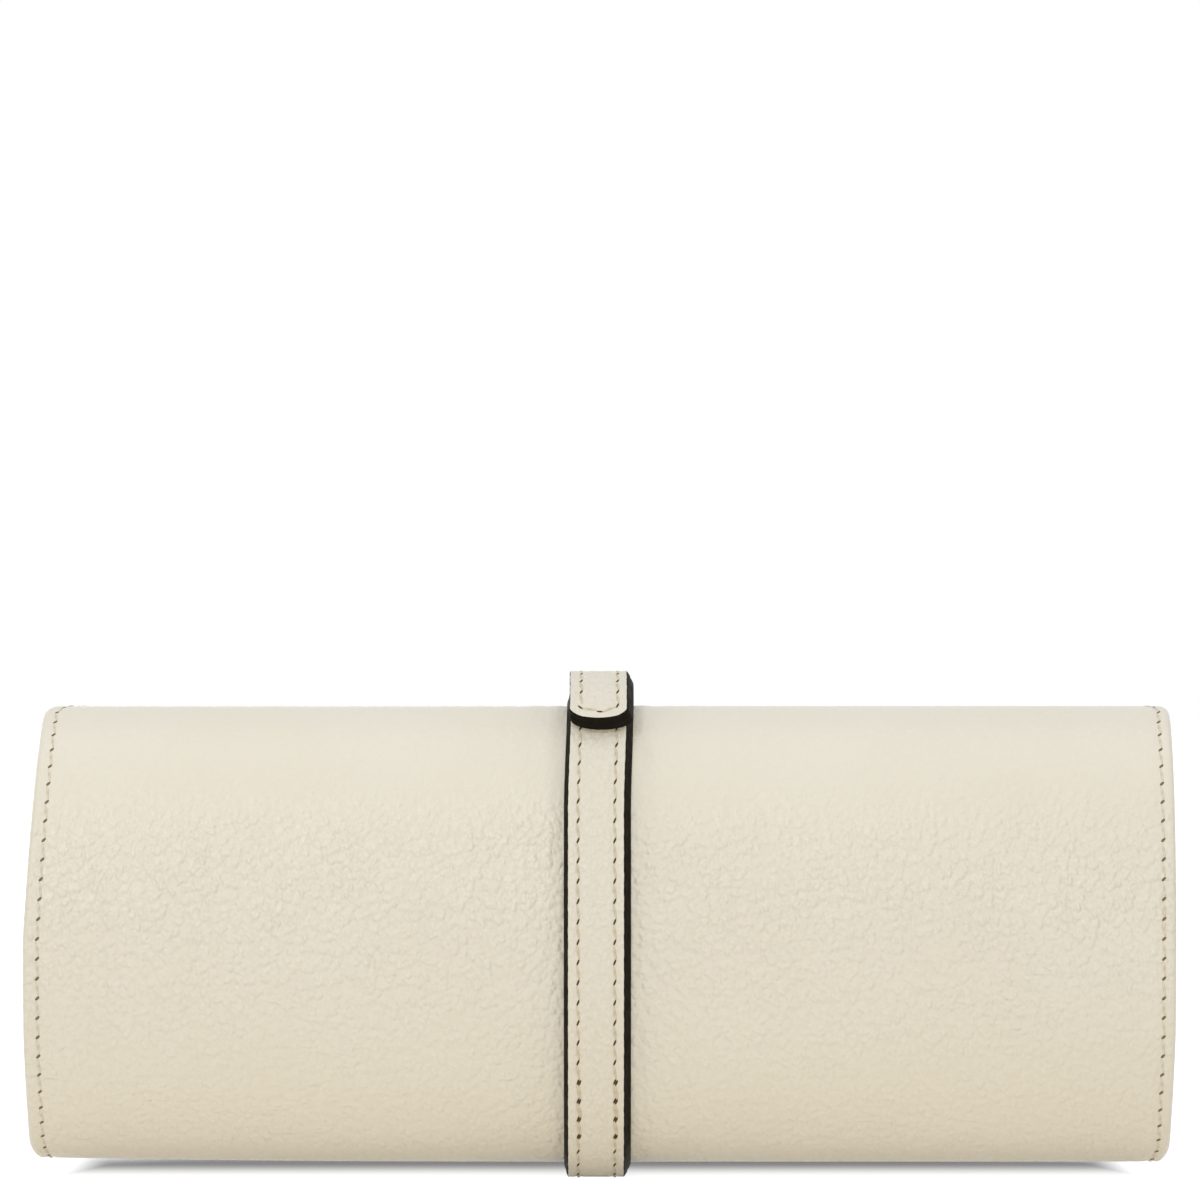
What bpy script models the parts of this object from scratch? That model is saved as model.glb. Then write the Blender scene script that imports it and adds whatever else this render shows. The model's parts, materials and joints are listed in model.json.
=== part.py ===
"""Roll-up jewellery case of cream pebbled leather, closed and standing on its strap.

Metres, +Z up. X runs along the case, the front faces -Y, and z = 0 is the underside of the
strap below the base. The wrap is one long sheet: it starts inside the top, runs down the back,
under the base, up the front and over the top again, where its free edge ends as a flap. A two-ply
strap is sewn round it and goes on as a closing tab. Inside are two zipped pockets and a ring roll.
"""
import math

import bmesh
import bpy
import numpy as np
from mathutils import Matrix, Vector

# Gaps
SEAT_GAP = 0.0003
FOLD_GAP = 0.0003
OVERRUN = 0.002

# Wrap
WRAP_LENGTH = 0.250
BODY_HEIGHT = 0.100
BODY_DEPTH = 0.055
BASE_SAG = 0.0006
BASE_POWER = 2.2
LEATHER = 0.0016
FOAM = 0.0008
LINING = 0.0008
FLAP_PAST_TOP = 0.006
BACK_PAST_TOP = 0.005
TOP_EASE = 0.0008
FLAP_CORNER = 0.016
INNER_CORNER = 0.010
FOAM_MARGIN = 0.009
LINING_MARGIN = 0.0015
BASE_FOAM_HALF = 0.014
TOP_TURN = 90.0
BASE_TURN = -90.0
BACK_TURN = -180.0
BACK_TOP_TURN = -270.0
FOLD_TURN = -46.0
BACK_FOLD_TURN = -118.0
ROW_PITCH = 0.004
CORNER_STEPS = 6
TURN_STEP = 0.25
SHARP_ANGLE = math.radians(30.0)

# Strap and closing tab
STRAP_WIDTH = 0.0144
STRAP_PLY = 0.00135
STRAP_END_MARGIN = 0.002
STRAP_END_CORNER = 0.003
TAB_HINGE_TURN = -237.0
TAB_TIP_TURN = 57.0
TAB_STANDOFF = 0.0014
TAB_LEAN = math.radians(14.0)
TAB_RISER_HANDLE = 0.009
TAB_CROWN_HANDLE = 0.007
TAB_TIP_ROUND_share = 0.92
TAB_TIP_DEPTH = 0.0034
TAB_BEZIER_STEPS = 60
CLASP_RADIUS = 0.004
CLASP_HOLE_GAP = 0.0003
CLASP_PROUD = 0.0004
CLASP_FROM_TIP = 0.0085

# Pockets
POCKET_END_MARGIN = 0.013
POCKET_PANEL = 0.0010
POCKET_RIM = 0.0035
POCKET_CORNER = 0.008
POCKET_HEIGHT = 0.026
BAND_HEIGHT = 0.0093
BAND_CORNER = 0.0035
RIM_STEP = 0.0003
BACK_ZIP_DROP = 0.0108
FRONT_ZIP_RISE = 0.0012
BACK_ZIP_LOWEST_TURN = -120.0
FRONT_ZIP_HIGHEST_TURN = 60.0

# Zip chain
TAPE_END_MARGIN = 0.009
CHAIN_END_MARGIN = 0.010
TAPE_WIDTH = 0.0062
TAPE_THICKNESS = 0.0006
TOOTH_PITCH = 0.003
TOOTH_WIDTH = 0.0012
TOOTH_THICKNESS = 0.0018
TOOTH_REACH = 0.0005
TOOTH_CHAMFER = 0.0003
SPINE_INNER = 0.0008
SPINE_WIDTH = 0.0011
STOP_LENGTH = 0.002
STOP_THICKNESS = 0.0022

# Zip slider and puller
SLIDER_LENGTH = 0.0092
SLIDER_NOSE_WIDTH = 0.0070
SLIDER_TAIL_WIDTH = 0.0058
SLIDER_TOP = 0.0009
SLIDER_BOTTOM = 0.0007
SLIDER_FLANGE = 0.0007
SLIDER_NOSE_share = 0.35
PANEL_EDGE_GAP = 0.0007
CROWN_LENGTH = 0.0068
CROWN_POST = 0.0009
CROWN_ROOM = 0.0016
CROWN_BRIDGE = 0.0007
CROWN_WIDTH = 0.0016
PULLER_LENGTH = 0.0125
PULLER_WIDTH = 0.0046
PULLER_TIP_WIDTH = 0.0036
PULLER_THICKNESS = 0.0009
PULLER_BAR = 0.0010
PULLER_EYE_LENGTH = 0.0042
PULLER_SIDE_GAP = 0.0003
PULLER_CORNER = 0.0008

# Ring roll
ROLL_DIAMETER = 0.015
ROLL_END_MARGIN = 0.030
ROLL_RISE = 0.0127
ROLL_CROWN = 0.0006
ROLL_SIDES = 20
ROLL_STATIONS = 8
DOME_STEPS = 4
STRIP_THICKNESS = 0.0016
STRIP_HEIGHT = 0.010
STRIP_PIVOT_MARGIN = 0.021
STRIP_TONGUE = 0.012
PATCH_LENGTH = 0.011
PATCH_CORNER = 0.002
PATCH_LEAST = 0.001
SNAP_SIDES = 24
SNAP_POST_RADIUS = 0.0018
SNAP_HEAD_RADIUS = 0.0021
SNAP_FLANGE_RADIUS = 0.0036
SNAP_FLANGE = 0.0006
SNAP_POST_LENGTH = 0.0030
SNAP_HOLE_RADIUS = 0.0026
SNAP_CAP_RADIUS = 0.0048
SNAP_CAP_THICKNESS = 0.0024
SNAP_FROM_END = 0.0058

# Colours, sRGB hex, with roughness and metallic value
FINISHES = {
    "cream_leather": ("#e3dcc8", 0.55, 0.0),
    "suede_lining": ("#cdbfa6", 0.95, 0.0),
    "foam": ("#d9d6cf", 0.95, 0.0),
    "edge_paint": ("#1d1c16", 0.6, 0.0),
    "zip_tape": ("#b8aa90", 0.9, 0.0),
    "zip_metal": ("#b99a5f", 0.3, 1.0),
    "nickel": ("#b8b8b8", 0.3, 1.0),
    "roll_suede": ("#c6b79c", 0.95, 0.0),
}

# Sizes that follow
SHEET_STACK = LEATHER + FOAM + LINING + SEAT_GAP + SEAT_GAP
STRAP_STACK = STRAP_PLY + SEAT_GAP + STRAP_PLY
STRAP_OUTER = SEAT_GAP + STRAP_STACK
BODY_BOTTOM = STRAP_OUTER
MID_HEIGHT = BODY_BOTTOM + BODY_HEIGHT / 2
TOP_HALF = BODY_HEIGHT / 2
BACK_TOP_HALF = TOP_HALF - SHEET_STACK - SEAT_GAP - TOP_EASE
BASE_HALF = BODY_HEIGHT / 2 + BASE_SAG
TAB_INNER = STRAP_OUTER + TAB_STANDOFF
COMB_HALF = TOOTH_THICKNESS / 2
ZIP_RISE = COMB_HALF + SEAT_GAP + SLIDER_BOTTOM + SEAT_GAP
SLIDER_HALF = SLIDER_NOSE_WIDTH / 2
POCKET_EDGE = SLIDER_HALF + PANEL_EDGE_GAP
COMB_OUTER = SPINE_INNER + SPINE_WIDTH
POCKET_LENGTH = WRAP_LENGTH - 2 * POCKET_END_MARGIN
TAPE_LENGTH = POCKET_LENGTH - 2 * TAPE_END_MARGIN
CHAIN_LENGTH = TAPE_LENGTH - 2 * CHAIN_END_MARGIN
ROLL_LENGTH = WRAP_LENGTH - 2 * ROLL_END_MARGIN
ROLL_HEIGHT = MID_HEIGHT + ROLL_RISE
STRIP_PIVOT_X = STRIP_PIVOT_MARGIN - WRAP_LENGTH / 2
CLASP_SEAT_RISE = CLASP_RADIUS ** 2 / BODY_DEPTH


def srgb_to_linear(hex_colour):
    """Linear red, green, blue and alpha of an sRGB hex colour."""
    values = [int(hex_colour[i:i + 2], 16) / 255 for i in (1, 3, 5)]
    linear = [v / 12.92 if v <= 0.04045 else ((v + 0.055) / 1.055) ** 2.4 for v in values]
    return (*linear, 1.0)


def finish(name):
    """The named material, made the first time it is asked for."""
    known = bpy.data.materials.get(name)
    if known:
        return known
    colour, roughness, metallic = FINISHES[name]
    material = bpy.data.materials.new(name)
    material.use_nodes = True
    shader = material.node_tree.nodes["Principled BSDF"]
    shader.inputs["Base Color"].default_value = srgb_to_linear(colour)
    shader.inputs["Roughness"].default_value = roughness
    shader.inputs["Metallic"].default_value = metallic
    material.diffuse_color = srgb_to_linear(colour)
    return material


def add_object(name, vertices, faces, finish_name, parent=None, smooth=True):
    """A mesh object from points and faces, with its faces turned outwards."""
    mesh = bpy.data.meshes.new(name)
    mesh.from_pydata([tuple(v) for v in vertices], [], faces)
    shell = bmesh.new()
    shell.from_mesh(mesh)
    bmesh.ops.recalc_face_normals(shell, faces=shell.faces)
    shell.to_mesh(mesh)
    shell.free()
    mesh.materials.append(finish(finish_name))
    if smooth:
        mesh.shade_smooth()
        mesh.set_sharp_from_angle(angle=SHARP_ANGLE)
    piece = bpy.data.objects.new(name, mesh)
    bpy.context.scene.collection.objects.link(piece)
    piece.parent = parent
    return piece


def add_empty(name, matrix, parent=None):
    """An empty that marks a joint's axis or carries a sub-assembly."""
    empty = bpy.data.objects.new(name, None)
    empty.empty_display_size = STRAP_WIDTH
    bpy.context.scene.collection.objects.link(empty)
    empty.parent = parent
    if parent:
        matrix = parent.matrix_world.inverted() @ matrix
    empty.matrix_basis = matrix
    bpy.context.view_layer.update()
    return empty


def hang(piece, empty):
    """Gives a piece modelled in world coordinates its origin on the empty's place."""
    piece.data.transform(empty.matrix_world.inverted())
    piece.parent = empty
    return piece


def extruded(name, outline, low, high, finish_name, parent=None, axes=(0, 1, 2), smooth=False):
    """A prism: the outline's two coordinates go to axes[0] and axes[1], its depth to axes[2]."""
    vertices = []
    for level in (low, high):
        for u, v in outline:
            point = [0.0, 0.0, 0.0]
            point[axes[0]], point[axes[1]], point[axes[2]] = u, v, level
            vertices.append(point)
    count = len(outline)
    faces = [tuple(range(count)), tuple(range(count, count + count))]
    for i in range(count):
        j = (i + 1) % count
        faces.append((i, j, count + j, count + i))
    return add_object(name, vertices, faces, finish_name, parent, smooth)


def turned(name, profile, sides, finish_name, parent=None, matrix=None):
    """A turned solid about local Z from (height, radius) pairs; a zero radius closes an end."""
    vertices, rings = [], []
    for height, radius in profile:
        if radius == 0:
            rings.append([len(vertices)])
            vertices.append((0.0, 0.0, height))
            continue
        start = len(vertices)
        rings.append(list(range(start, start + sides)))
        for k in range(sides):
            angle = math.tau * k / sides
            vertices.append((radius * math.cos(angle), radius * math.sin(angle), height))
    faces = []
    for lower, upper in zip(rings, rings[1:]):
        for k in range(sides):
            n = (k + 1) % sides
            if len(lower) == 1:
                faces.append((lower[0], upper[k], upper[n]))
            elif len(upper) == 1:
                faces.append((lower[k], lower[n], upper[0]))
            else:
                faces.append((lower[k], lower[n], upper[n], upper[k]))
    piece = add_object(name, vertices, faces, finish_name, parent)
    if matrix is not None:
        piece.matrix_basis = matrix
    return piece


def cut(target, cutter, operation="DIFFERENCE"):
    """Adds a Boolean that cuts the cutter from the target, or joins it to the target."""
    cutter.hide_render = True
    cutter.display_type = "WIRE"
    modifier = target.modifiers.new(cutter.name, "BOOLEAN")
    modifier.operation = operation
    modifier.solver = "EXACT"
    modifier.object = cutter


class Track:
    """A side profile as a dense run of points, addressed by its length in metres.

    Its left-hand normal points out of the case when the run goes up the front.
    """

    def __init__(self, points, turns=None):
        self.points = np.array(points)
        steps = np.diff(self.points, axis=0)
        lengths = np.hypot(steps[:, 0], steps[:, 1])
        self.stations = np.concatenate(([0.0], np.cumsum(lengths)))
        tangents = np.gradient(self.points, self.stations, axis=0)
        tangents /= np.linalg.norm(tangents, axis=1)[:, None]
        self.normals = np.stack((-tangents[:, 1], tangents[:, 0]), axis=1)
        self.turns = turns

    @property
    def length(self):
        return self.stations[-1]

    def station_of(self, turn):
        """Length along the track at a turn angle."""
        return float(np.interp(turn, self.turns, self.stations))

    def station_at_height(self, height, low, high):
        """Length along the track where it reaches a height, between two lengths."""
        inside = (self.stations >= low) & (self.stations <= high)
        heights = self.points[inside, 1]
        order = np.argsort(heights)
        return float(np.interp(height, heights[order], self.stations[inside][order]))

    def normal(self, station):
        """Unit normal that points out of the case."""
        y = np.interp(station, self.stations, self.normals[:, 0])
        z = np.interp(station, self.stations, self.normals[:, 1])
        return np.array((y, z)) / math.hypot(y, z)

    def at(self, station, offset=0.0):
        """Point at a length along the track, moved out along its normal."""
        y = np.interp(station, self.stations, self.points[:, 0])
        z = np.interp(station, self.stations, self.points[:, 1])
        return np.array((y, z)) + offset * self.normal(station)


def wrap_point(turn, top_half):
    """Outer leather surface at a turn angle: 0 front, 90 top, -90 base, -180 back."""
    across = math.cos(math.radians(turn))
    up = math.sin(math.radians(turn))
    power = 1.0 if up >= 0 else 2 / BASE_POWER
    half_height = top_half if up >= 0 else BASE_HALF
    y = -BODY_DEPTH / 2 * math.copysign(abs(across) ** power, across)
    z = MID_HEIGHT + half_height * math.copysign(abs(up) ** power, up)
    return y, max(z, BODY_BOTTOM)


def turn_past_top(distance):
    """Turn angle past the top at which the profile has gone a distance across."""
    return math.degrees(math.asin(distance / (BODY_DEPTH / 2)))


def wrap_track(start, end, top_half):
    """The wrap's profile between two turn angles."""
    count = int(round((end - start) / TURN_STEP)) + 1
    turns = np.linspace(start, end, count)
    return Track([wrap_point(turn, top_half) for turn in turns], turns)


def make_front_track():
    """From the front fold up and over the top to the flap's free edge."""
    return wrap_track(FOLD_TURN, TOP_TURN + turn_past_top(FLAP_PAST_TOP), TOP_HALF)


def make_back_track():
    """From the inner edge under the flap, down the back and under the base to the fold."""
    return wrap_track(BACK_TOP_TURN - turn_past_top(BACK_PAST_TOP), FOLD_TURN, BACK_TOP_HALF)


FRONT = make_front_track()
BACK = make_back_track()


def make_tab_track():
    """The closing tab's inner face, from its tip over the crown and down to its hinge."""
    tip = FRONT.station_of(TAB_TIP_TURN)
    crown = FRONT.station_of(TOP_TURN)
    over = [FRONT.at(s, TAB_INNER) for s in np.linspace(tip, crown, TAB_BEZIER_STEPS)]
    top = over[-1]
    lean = np.array((math.sin(TAB_LEAN), -math.cos(TAB_LEAN)))
    outward = np.array((math.cos(TAB_LEAN), math.sin(TAB_LEAN)))
    hinge = tab_hinge_point()
    foot = hinge - STRAP_STACK * outward
    first = top + np.array((TAB_CROWN_HANDLE, 0.0))
    second = foot - TAB_RISER_HANDLE * lean
    for step in range(1, TAB_BEZIER_STEPS + 1):
        t = step / TAB_BEZIER_STEPS
        u = 1 - t
        over.append(u ** 3 * top + 3 * u * u * t * first + 3 * u * t * t * second + t ** 3 * foot)
    return Track(over)


def tab_hinge_point():
    """Axis of the tab's fold, on the strap's outer face at the back of the top."""
    return BACK.at(BACK.station_of(TAB_HINGE_TURN), STRAP_OUTER)


def front_fold_point():
    """Axis of the front leaf's fold, on the strap's outer face."""
    return FRONT.at(0.0, STRAP_OUTER)


def sheet_rows(start, end, half_width, start_round=0.0, end_round=0.0, start_depth=None):
    """Lengths along a track, each with its half width, closer together round the corners.

    The corners are quarter circles, or at the start quarter ellipses where a depth is given.
    """
    depth = start_round if start_depth is None else start_depth
    rows = []
    if start_round:
        for k in range(CORNER_STEPS + 1):
            angle = math.pi / 2 * k / CORNER_STEPS
            inset = start_round - start_round * math.sin(angle)
            rows.append((start + depth - depth * math.cos(angle), half_width - inset))
    else:
        rows.append((start, half_width))
    last_rows = []
    if end_round:
        for k in range(CORNER_STEPS + 1):
            angle = math.pi / 2 * k / CORNER_STEPS
            inset = end_round - end_round * math.cos(angle)
            last_rows.append((end - end_round + end_round * math.sin(angle), half_width - inset))
    else:
        last_rows.append((end, half_width))
    low = rows[-1][0] + ROW_PITCH / 2
    high = last_rows[0][0] - ROW_PITCH / 2
    for k in range(math.ceil(low / ROW_PITCH), math.floor(high / ROW_PITCH) + 1):
        rows.append((k * ROW_PITCH, half_width))
    return rows + last_rows


def loft(name, track, rows, sections, finish_name):
    """Joins one closed section of (x, offset) pairs per row into a solid.

    sections(station, half_width) gives the section's (x, offset) pairs at a row.
    """
    vertices, count = [], 0
    for station, half_width in rows:
        section = sections(station, half_width)
        count = len(section)
        for x, offset in section:
            y, z = track.at(station, offset)
            vertices.append((x, y, z))
    faces = [tuple(range(count))]
    for row in range(len(rows) - 1):
        base = row * count
        for i in range(count):
            j = (i + 1) % count
            faces.append((base + i, base + j, base + count + j, base + count + i))
    last = (len(rows) - 1) * count
    faces.append(tuple(range(last, last + count)))
    return add_object(name, vertices, faces, finish_name)


def sheet(name, track, rows, outer, inner, finish_name):
    """A sheet of even thickness that follows a track between two offsets."""

    def section(_station, half_width):
        return [(-half_width, outer), (half_width, outer), (half_width, inner), (-half_width, inner)]

    return loft(name, track, rows, section, finish_name)


def strap_ply(name, track, rows, offsets):
    """A ply of the strap, cream on its broad faces and painted black round its cut edge."""
    ply = sheet(name, track, rows, *offsets, "cream_leather")
    ply.data.materials.append(finish("edge_paint"))
    broad = {1, 3}
    for face in ply.data.polygons:
        if face.index == 0 or face.index == len(ply.data.polygons) - 1 or face.index % 4 not in broad:
            face.material_index = 1
    return ply


def wrap_layers():
    """Outer and inner offsets of the leather, foam and lining."""
    leather = (0.0, -LEATHER)
    foam = (leather[1] - SEAT_GAP, leather[1] - SEAT_GAP - FOAM)
    lining = (foam[1] - SEAT_GAP, foam[1] - SEAT_GAP - LINING)
    return leather, foam, lining


def make_back_wrap():
    """Leather, foam panels and lining of the back and base."""
    leather, foam, lining = wrap_layers()
    half = WRAP_LENGTH / 2
    end = BACK.length - FOLD_GAP / 2
    rows = sheet_rows(0.0, end, half, start_round=INNER_CORNER)
    sheet("back_leather", BACK, rows, *leather, "cream_leather")
    rows = sheet_rows(LINING_MARGIN, end, half - LINING_MARGIN, start_round=INNER_CORNER)
    sheet("back_lining", BACK, rows, *lining, "suede_lining")
    fold = BACK.station_of(BACK_FOLD_TURN)
    rows = sheet_rows(FOAM_MARGIN, fold - FOAM_MARGIN / 2, half - FOAM_MARGIN)
    sheet("back_foam", BACK, rows, *foam, "foam")
    middle = BACK.station_of(BASE_TURN)
    rows = sheet_rows(middle - BASE_FOAM_HALF, middle + BASE_FOAM_HALF, half - FOAM_MARGIN)
    sheet("base_foam", BACK, rows, *foam, "foam")


def make_front_wrap(axis):
    """Leather, foam panel and lining of the front and its top flap."""
    leather, foam, lining = wrap_layers()
    half = WRAP_LENGTH / 2
    start = FOLD_GAP / 2
    rows = sheet_rows(start, FRONT.length, half, end_round=FLAP_CORNER)
    hang(sheet("front_leather", FRONT, rows, *leather, "cream_leather"), axis)
    end = FRONT.length - LINING_MARGIN
    rows = sheet_rows(start, end, half - LINING_MARGIN, end_round=FLAP_CORNER - LINING_MARGIN)
    hang(sheet("front_lining", FRONT, rows, *lining, "suede_lining"), axis)
    rows = sheet_rows(FOAM_MARGIN, FRONT.length - FOAM_MARGIN, half - FOAM_MARGIN,
                      end_round=INNER_CORNER)
    hang(sheet("front_foam", FRONT, rows, *foam, "foam"), axis)


def ply_offsets(inner):
    """Outer and inner offsets of a strap's face ply and of its backing ply."""
    backing = (inner + STRAP_PLY, inner)
    face = (backing[0] + SEAT_GAP + STRAP_PLY, backing[0] + SEAT_GAP)
    return face, backing


def make_back_strap():
    """Two plies of strap under the base and up the back, to the tab's fold."""
    start = BACK.station_of(TAB_HINGE_TURN) + FOLD_GAP / 2
    rows = sheet_rows(start, BACK.length - FOLD_GAP / 2, STRAP_WIDTH / 2)
    face, backing = ply_offsets(SEAT_GAP)
    strap_ply("back_strap_face", BACK, rows, face)
    strap_ply("back_strap_backing", BACK, rows, backing)


def clasp_place(track, station, offset):
    """Frame on a track whose local Z points out along the normal."""
    normal = track.normal(station)
    y, z = track.at(station, offset)
    out = Vector((0.0, normal[0], normal[1]))
    along = Vector((1.0, 0.0, 0.0))
    side = out.cross(along)
    matrix = Matrix((along, side, out)).transposed().to_4x4()
    matrix.translation = (0.0, y, z)
    return matrix


def make_front_strap(axis, clasp_matrix):
    """Two plies of strap up the front and over the top, with the clasp's steel plate."""
    end = FRONT.length - STRAP_END_MARGIN
    rows = sheet_rows(FOLD_GAP / 2, end, STRAP_WIDTH / 2, end_round=STRAP_END_CORNER)
    face, backing = ply_offsets(SEAT_GAP)
    face_ply = hang(strap_ply("front_strap_face", FRONT, rows, face), axis)
    hang(strap_ply("front_strap_backing", FRONT, rows, backing), axis)
    floor = -STRAP_PLY + CLASP_SEAT_RISE
    disc = [(floor, 0), (floor, CLASP_RADIUS), (CLASP_PROUD, CLASP_RADIUS), (CLASP_PROUD, 0)]
    plate = turned("clasp_plate", disc, SNAP_SIDES, "nickel")
    plate.data.transform(clasp_matrix)
    hang(plate, axis)
    hole_radius = CLASP_RADIUS + CLASP_HOLE_GAP
    reach = STRAP_PLY + OVERRUN
    hole = [(-STRAP_PLY, 0), (-STRAP_PLY, hole_radius), (reach, hole_radius), (reach, 0)]
    cutter = turned("clasp_plate_hole", hole, SNAP_SIDES, "nickel")
    cutter.data.transform(clasp_matrix)
    hang(cutter, axis)
    cut(face_ply, cutter)


def make_tab(tab, root_axis, tip_axis, clasp_matrix):
    """Closing tab in two lengths that fold at the crown, with the clasp's magnet in its tip."""
    crown = crown_station(tab)
    half = STRAP_WIDTH / 2
    face, backing = ply_offsets(0.0)
    root_rows = sheet_rows(crown + FOLD_GAP / 2, tab.length - FOLD_GAP / 2, half)
    tip_round = half * TAB_TIP_ROUND_share
    tip_rows = sheet_rows(0.0, crown - FOLD_GAP / 2, half, tip_round, start_depth=TAB_TIP_DEPTH)
    hang(strap_ply("tab_root_face", tab, root_rows, face), root_axis)
    hang(strap_ply("tab_root_backing", tab, root_rows, backing), root_axis)
    hang(strap_ply("tab_tip_face", tab, tip_rows, face), tip_axis)
    tip = hang(strap_ply("tab_tip_backing", tab, tip_rows, backing), tip_axis)
    top = STRAP_PLY - SEAT_GAP
    disc = [(-CLASP_PROUD, 0), (-CLASP_PROUD, CLASP_RADIUS), (top, CLASP_RADIUS), (top, 0)]
    magnet = turned("tab_magnet", disc, SNAP_SIDES, "nickel")
    magnet.data.transform(clasp_matrix)
    hang(magnet, tip_axis)
    hole_radius = CLASP_RADIUS + CLASP_HOLE_GAP
    hole = [(-OVERRUN, 0), (-OVERRUN, hole_radius), (OVERRUN, hole_radius), (OVERRUN, 0)]
    cutter = turned("tab_magnet_hole", hole, SNAP_SIDES, "nickel")
    cutter.data.transform(clasp_matrix)
    hang(cutter, tip_axis)
    cut(tip, cutter)


def crown_station(tab):
    """Length along the tab at its fold, where it crosses the top."""
    return float(np.interp(0.0, tab.points[:, 0], tab.stations))


def pocket_rows(start, end, corner, rim_at_start, rim_at_end):
    """Rows of a pocket panel, with a close pair where its cross rim steps down."""
    low_step = start + POCKET_RIM
    high_step = end - POCKET_RIM
    corners = (corner if rim_at_start else 0.0, corner if rim_at_end else 0.0)
    rows = sheet_rows(start, end, POCKET_LENGTH / 2, *corners)
    steps = []
    if rim_at_start:
        steps += [low_step, low_step + RIM_STEP]
    if rim_at_end:
        steps += [high_step - RIM_STEP, high_step]
    stations = np.array([row[0] for row in rows])
    halves = np.array([row[1] for row in rows])
    kept = [row for row in rows if all(abs(row[0] - step) > RIM_STEP / 2 for step in steps)]
    kept += [(step, float(np.interp(step, stations, halves))) for step in steps]
    return sorted(kept)


def pocket_section(start, end, rim_at_start, rim_at_end):
    """Section of a panel that stands off the lining, with a sewn-down rim on three sides."""
    lining = wrap_layers()[2][1]
    top = lining - ZIP_RISE - TAPE_THICKNESS / 2 - SEAT_GAP - POCKET_PANEL
    under = top + POCKET_PANEL
    foot = lining - SEAT_GAP
    low = start + POCKET_RIM if rim_at_start else start
    high = end - POCKET_RIM if rim_at_end else end
    tiny = RIM_STEP / 2

    def section(station, half_width):
        solid = (rim_at_start and station < low + tiny) or (rim_at_end and station > high - tiny)
        inner = foot if solid else under
        rim = half_width - POCKET_RIM
        return [(-half_width, top), (half_width, top), (half_width, foot), (rim, foot),
                (rim, inner), (-rim, inner), (-rim, foot), (-half_width, foot)]

    return section


def make_pocket_panel(name, track, span, corner, rims):
    """Builds one pocket panel from its rows and sections."""
    rows = pocket_rows(*span, corner, *rims)
    return loft(name, track, rows, pocket_section(*span, *rims), "suede_lining")


def make_pocket(side, track, zip_station, up, parent):
    """A pocket panel below the zip and a narrow band above it."""
    panel_reach = POCKET_EDGE + POCKET_HEIGHT
    band_reach = POCKET_EDGE + BAND_HEIGHT
    lower = sorted((zip_station - up * POCKET_EDGE, zip_station - up * panel_reach))
    upper = sorted((zip_station + up * POCKET_EDGE, zip_station + up * band_reach))
    rims = (up > 0, up < 0)
    panel = make_pocket_panel(side + "_pocket_panel", track, lower, POCKET_CORNER, rims)
    band = make_pocket_panel(side + "_pocket_band", track, upper, BAND_CORNER, rims[::-1])
    if parent:
        hang(panel, parent)
        hang(band, parent)


def zip_matrix(track, station, flip):
    """Frame of a zip: X along the chain, Y up the panel, Z into the case."""
    normal = track.normal(station)
    lining = wrap_layers()[2][1]
    y, z = track.at(station, lining - ZIP_RISE)
    inward = Vector((0.0, -normal[0], -normal[1]))
    along = Vector((flip, 0.0, 0.0))
    upward = inward.cross(along)
    matrix = Matrix((along, upward, inward)).transposed().to_4x4()
    matrix.translation = (0.0, y, z)
    return matrix


def comb_outline(side, phase):
    """Outline of one row of teeth with its spine; side +1 lies above the chain's centre line."""
    half = CHAIN_LENGTH / 2
    points = [(-half, side * COMB_OUTER), (-half, side * SPINE_INNER)]
    count = int((CHAIN_LENGTH - TOOTH_PITCH) / TOOTH_PITCH)
    start = -count * TOOTH_PITCH / 2 + phase
    for k in range(count):
        centre = start + (k + 0.5) * TOOTH_PITCH
        near, far = centre - TOOTH_WIDTH / 2, centre + TOOTH_WIDTH / 2
        tip = -side * TOOTH_REACH
        points.append((near, side * SPINE_INNER))
        points.append((near, tip + side * TOOTH_CHAMFER))
        points.append((near + TOOTH_CHAMFER, tip))
        points.append((far - TOOTH_CHAMFER, tip))
        points.append((far, tip + side * TOOTH_CHAMFER))
        points.append((far, side * SPINE_INNER))
    points += [(half, side * SPINE_INNER), (half, side * COMB_OUTER)]
    return points


def box_outline(low_x, high_x, low_y, high_y):
    """Corners of a rectangle."""
    return [(low_x, low_y), (high_x, low_y), (high_x, high_y), (low_x, high_y)]


def make_chain(side, frame):
    """Two tapes, two rows of meshed teeth and an end stop at each end."""
    tape_half = TAPE_THICKNESS / 2
    edge = COMB_OUTER + SEAT_GAP
    for word, sign, phase in (("upper", 1, 0.0), ("lower", -1, TOOTH_PITCH / 2)):
        outline = comb_outline(sign, phase)
        extruded(side + "_zip_teeth_" + word, outline, -COMB_HALF, COMB_HALF, "zip_metal", frame)
        low, high = sorted((sign * edge, sign * (edge + TAPE_WIDTH)))
        outline = box_outline(-TAPE_LENGTH / 2, TAPE_LENGTH / 2, low, high)
        extruded(side + "_zip_tape_" + word, outline, -tape_half, tape_half, "zip_tape", frame)
    for word, sign in (("top", 1), ("bottom", -1)):
        near = sign * (CHAIN_LENGTH / 2 + SEAT_GAP)
        low, high = sorted((near, near + sign * STOP_LENGTH))
        outline = box_outline(low, high, -COMB_OUTER, COMB_OUTER)
        half = STOP_THICKNESS / 2
        extruded(side + "_zip_stop_" + word, outline, -half, half, "zip_metal", frame)


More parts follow.
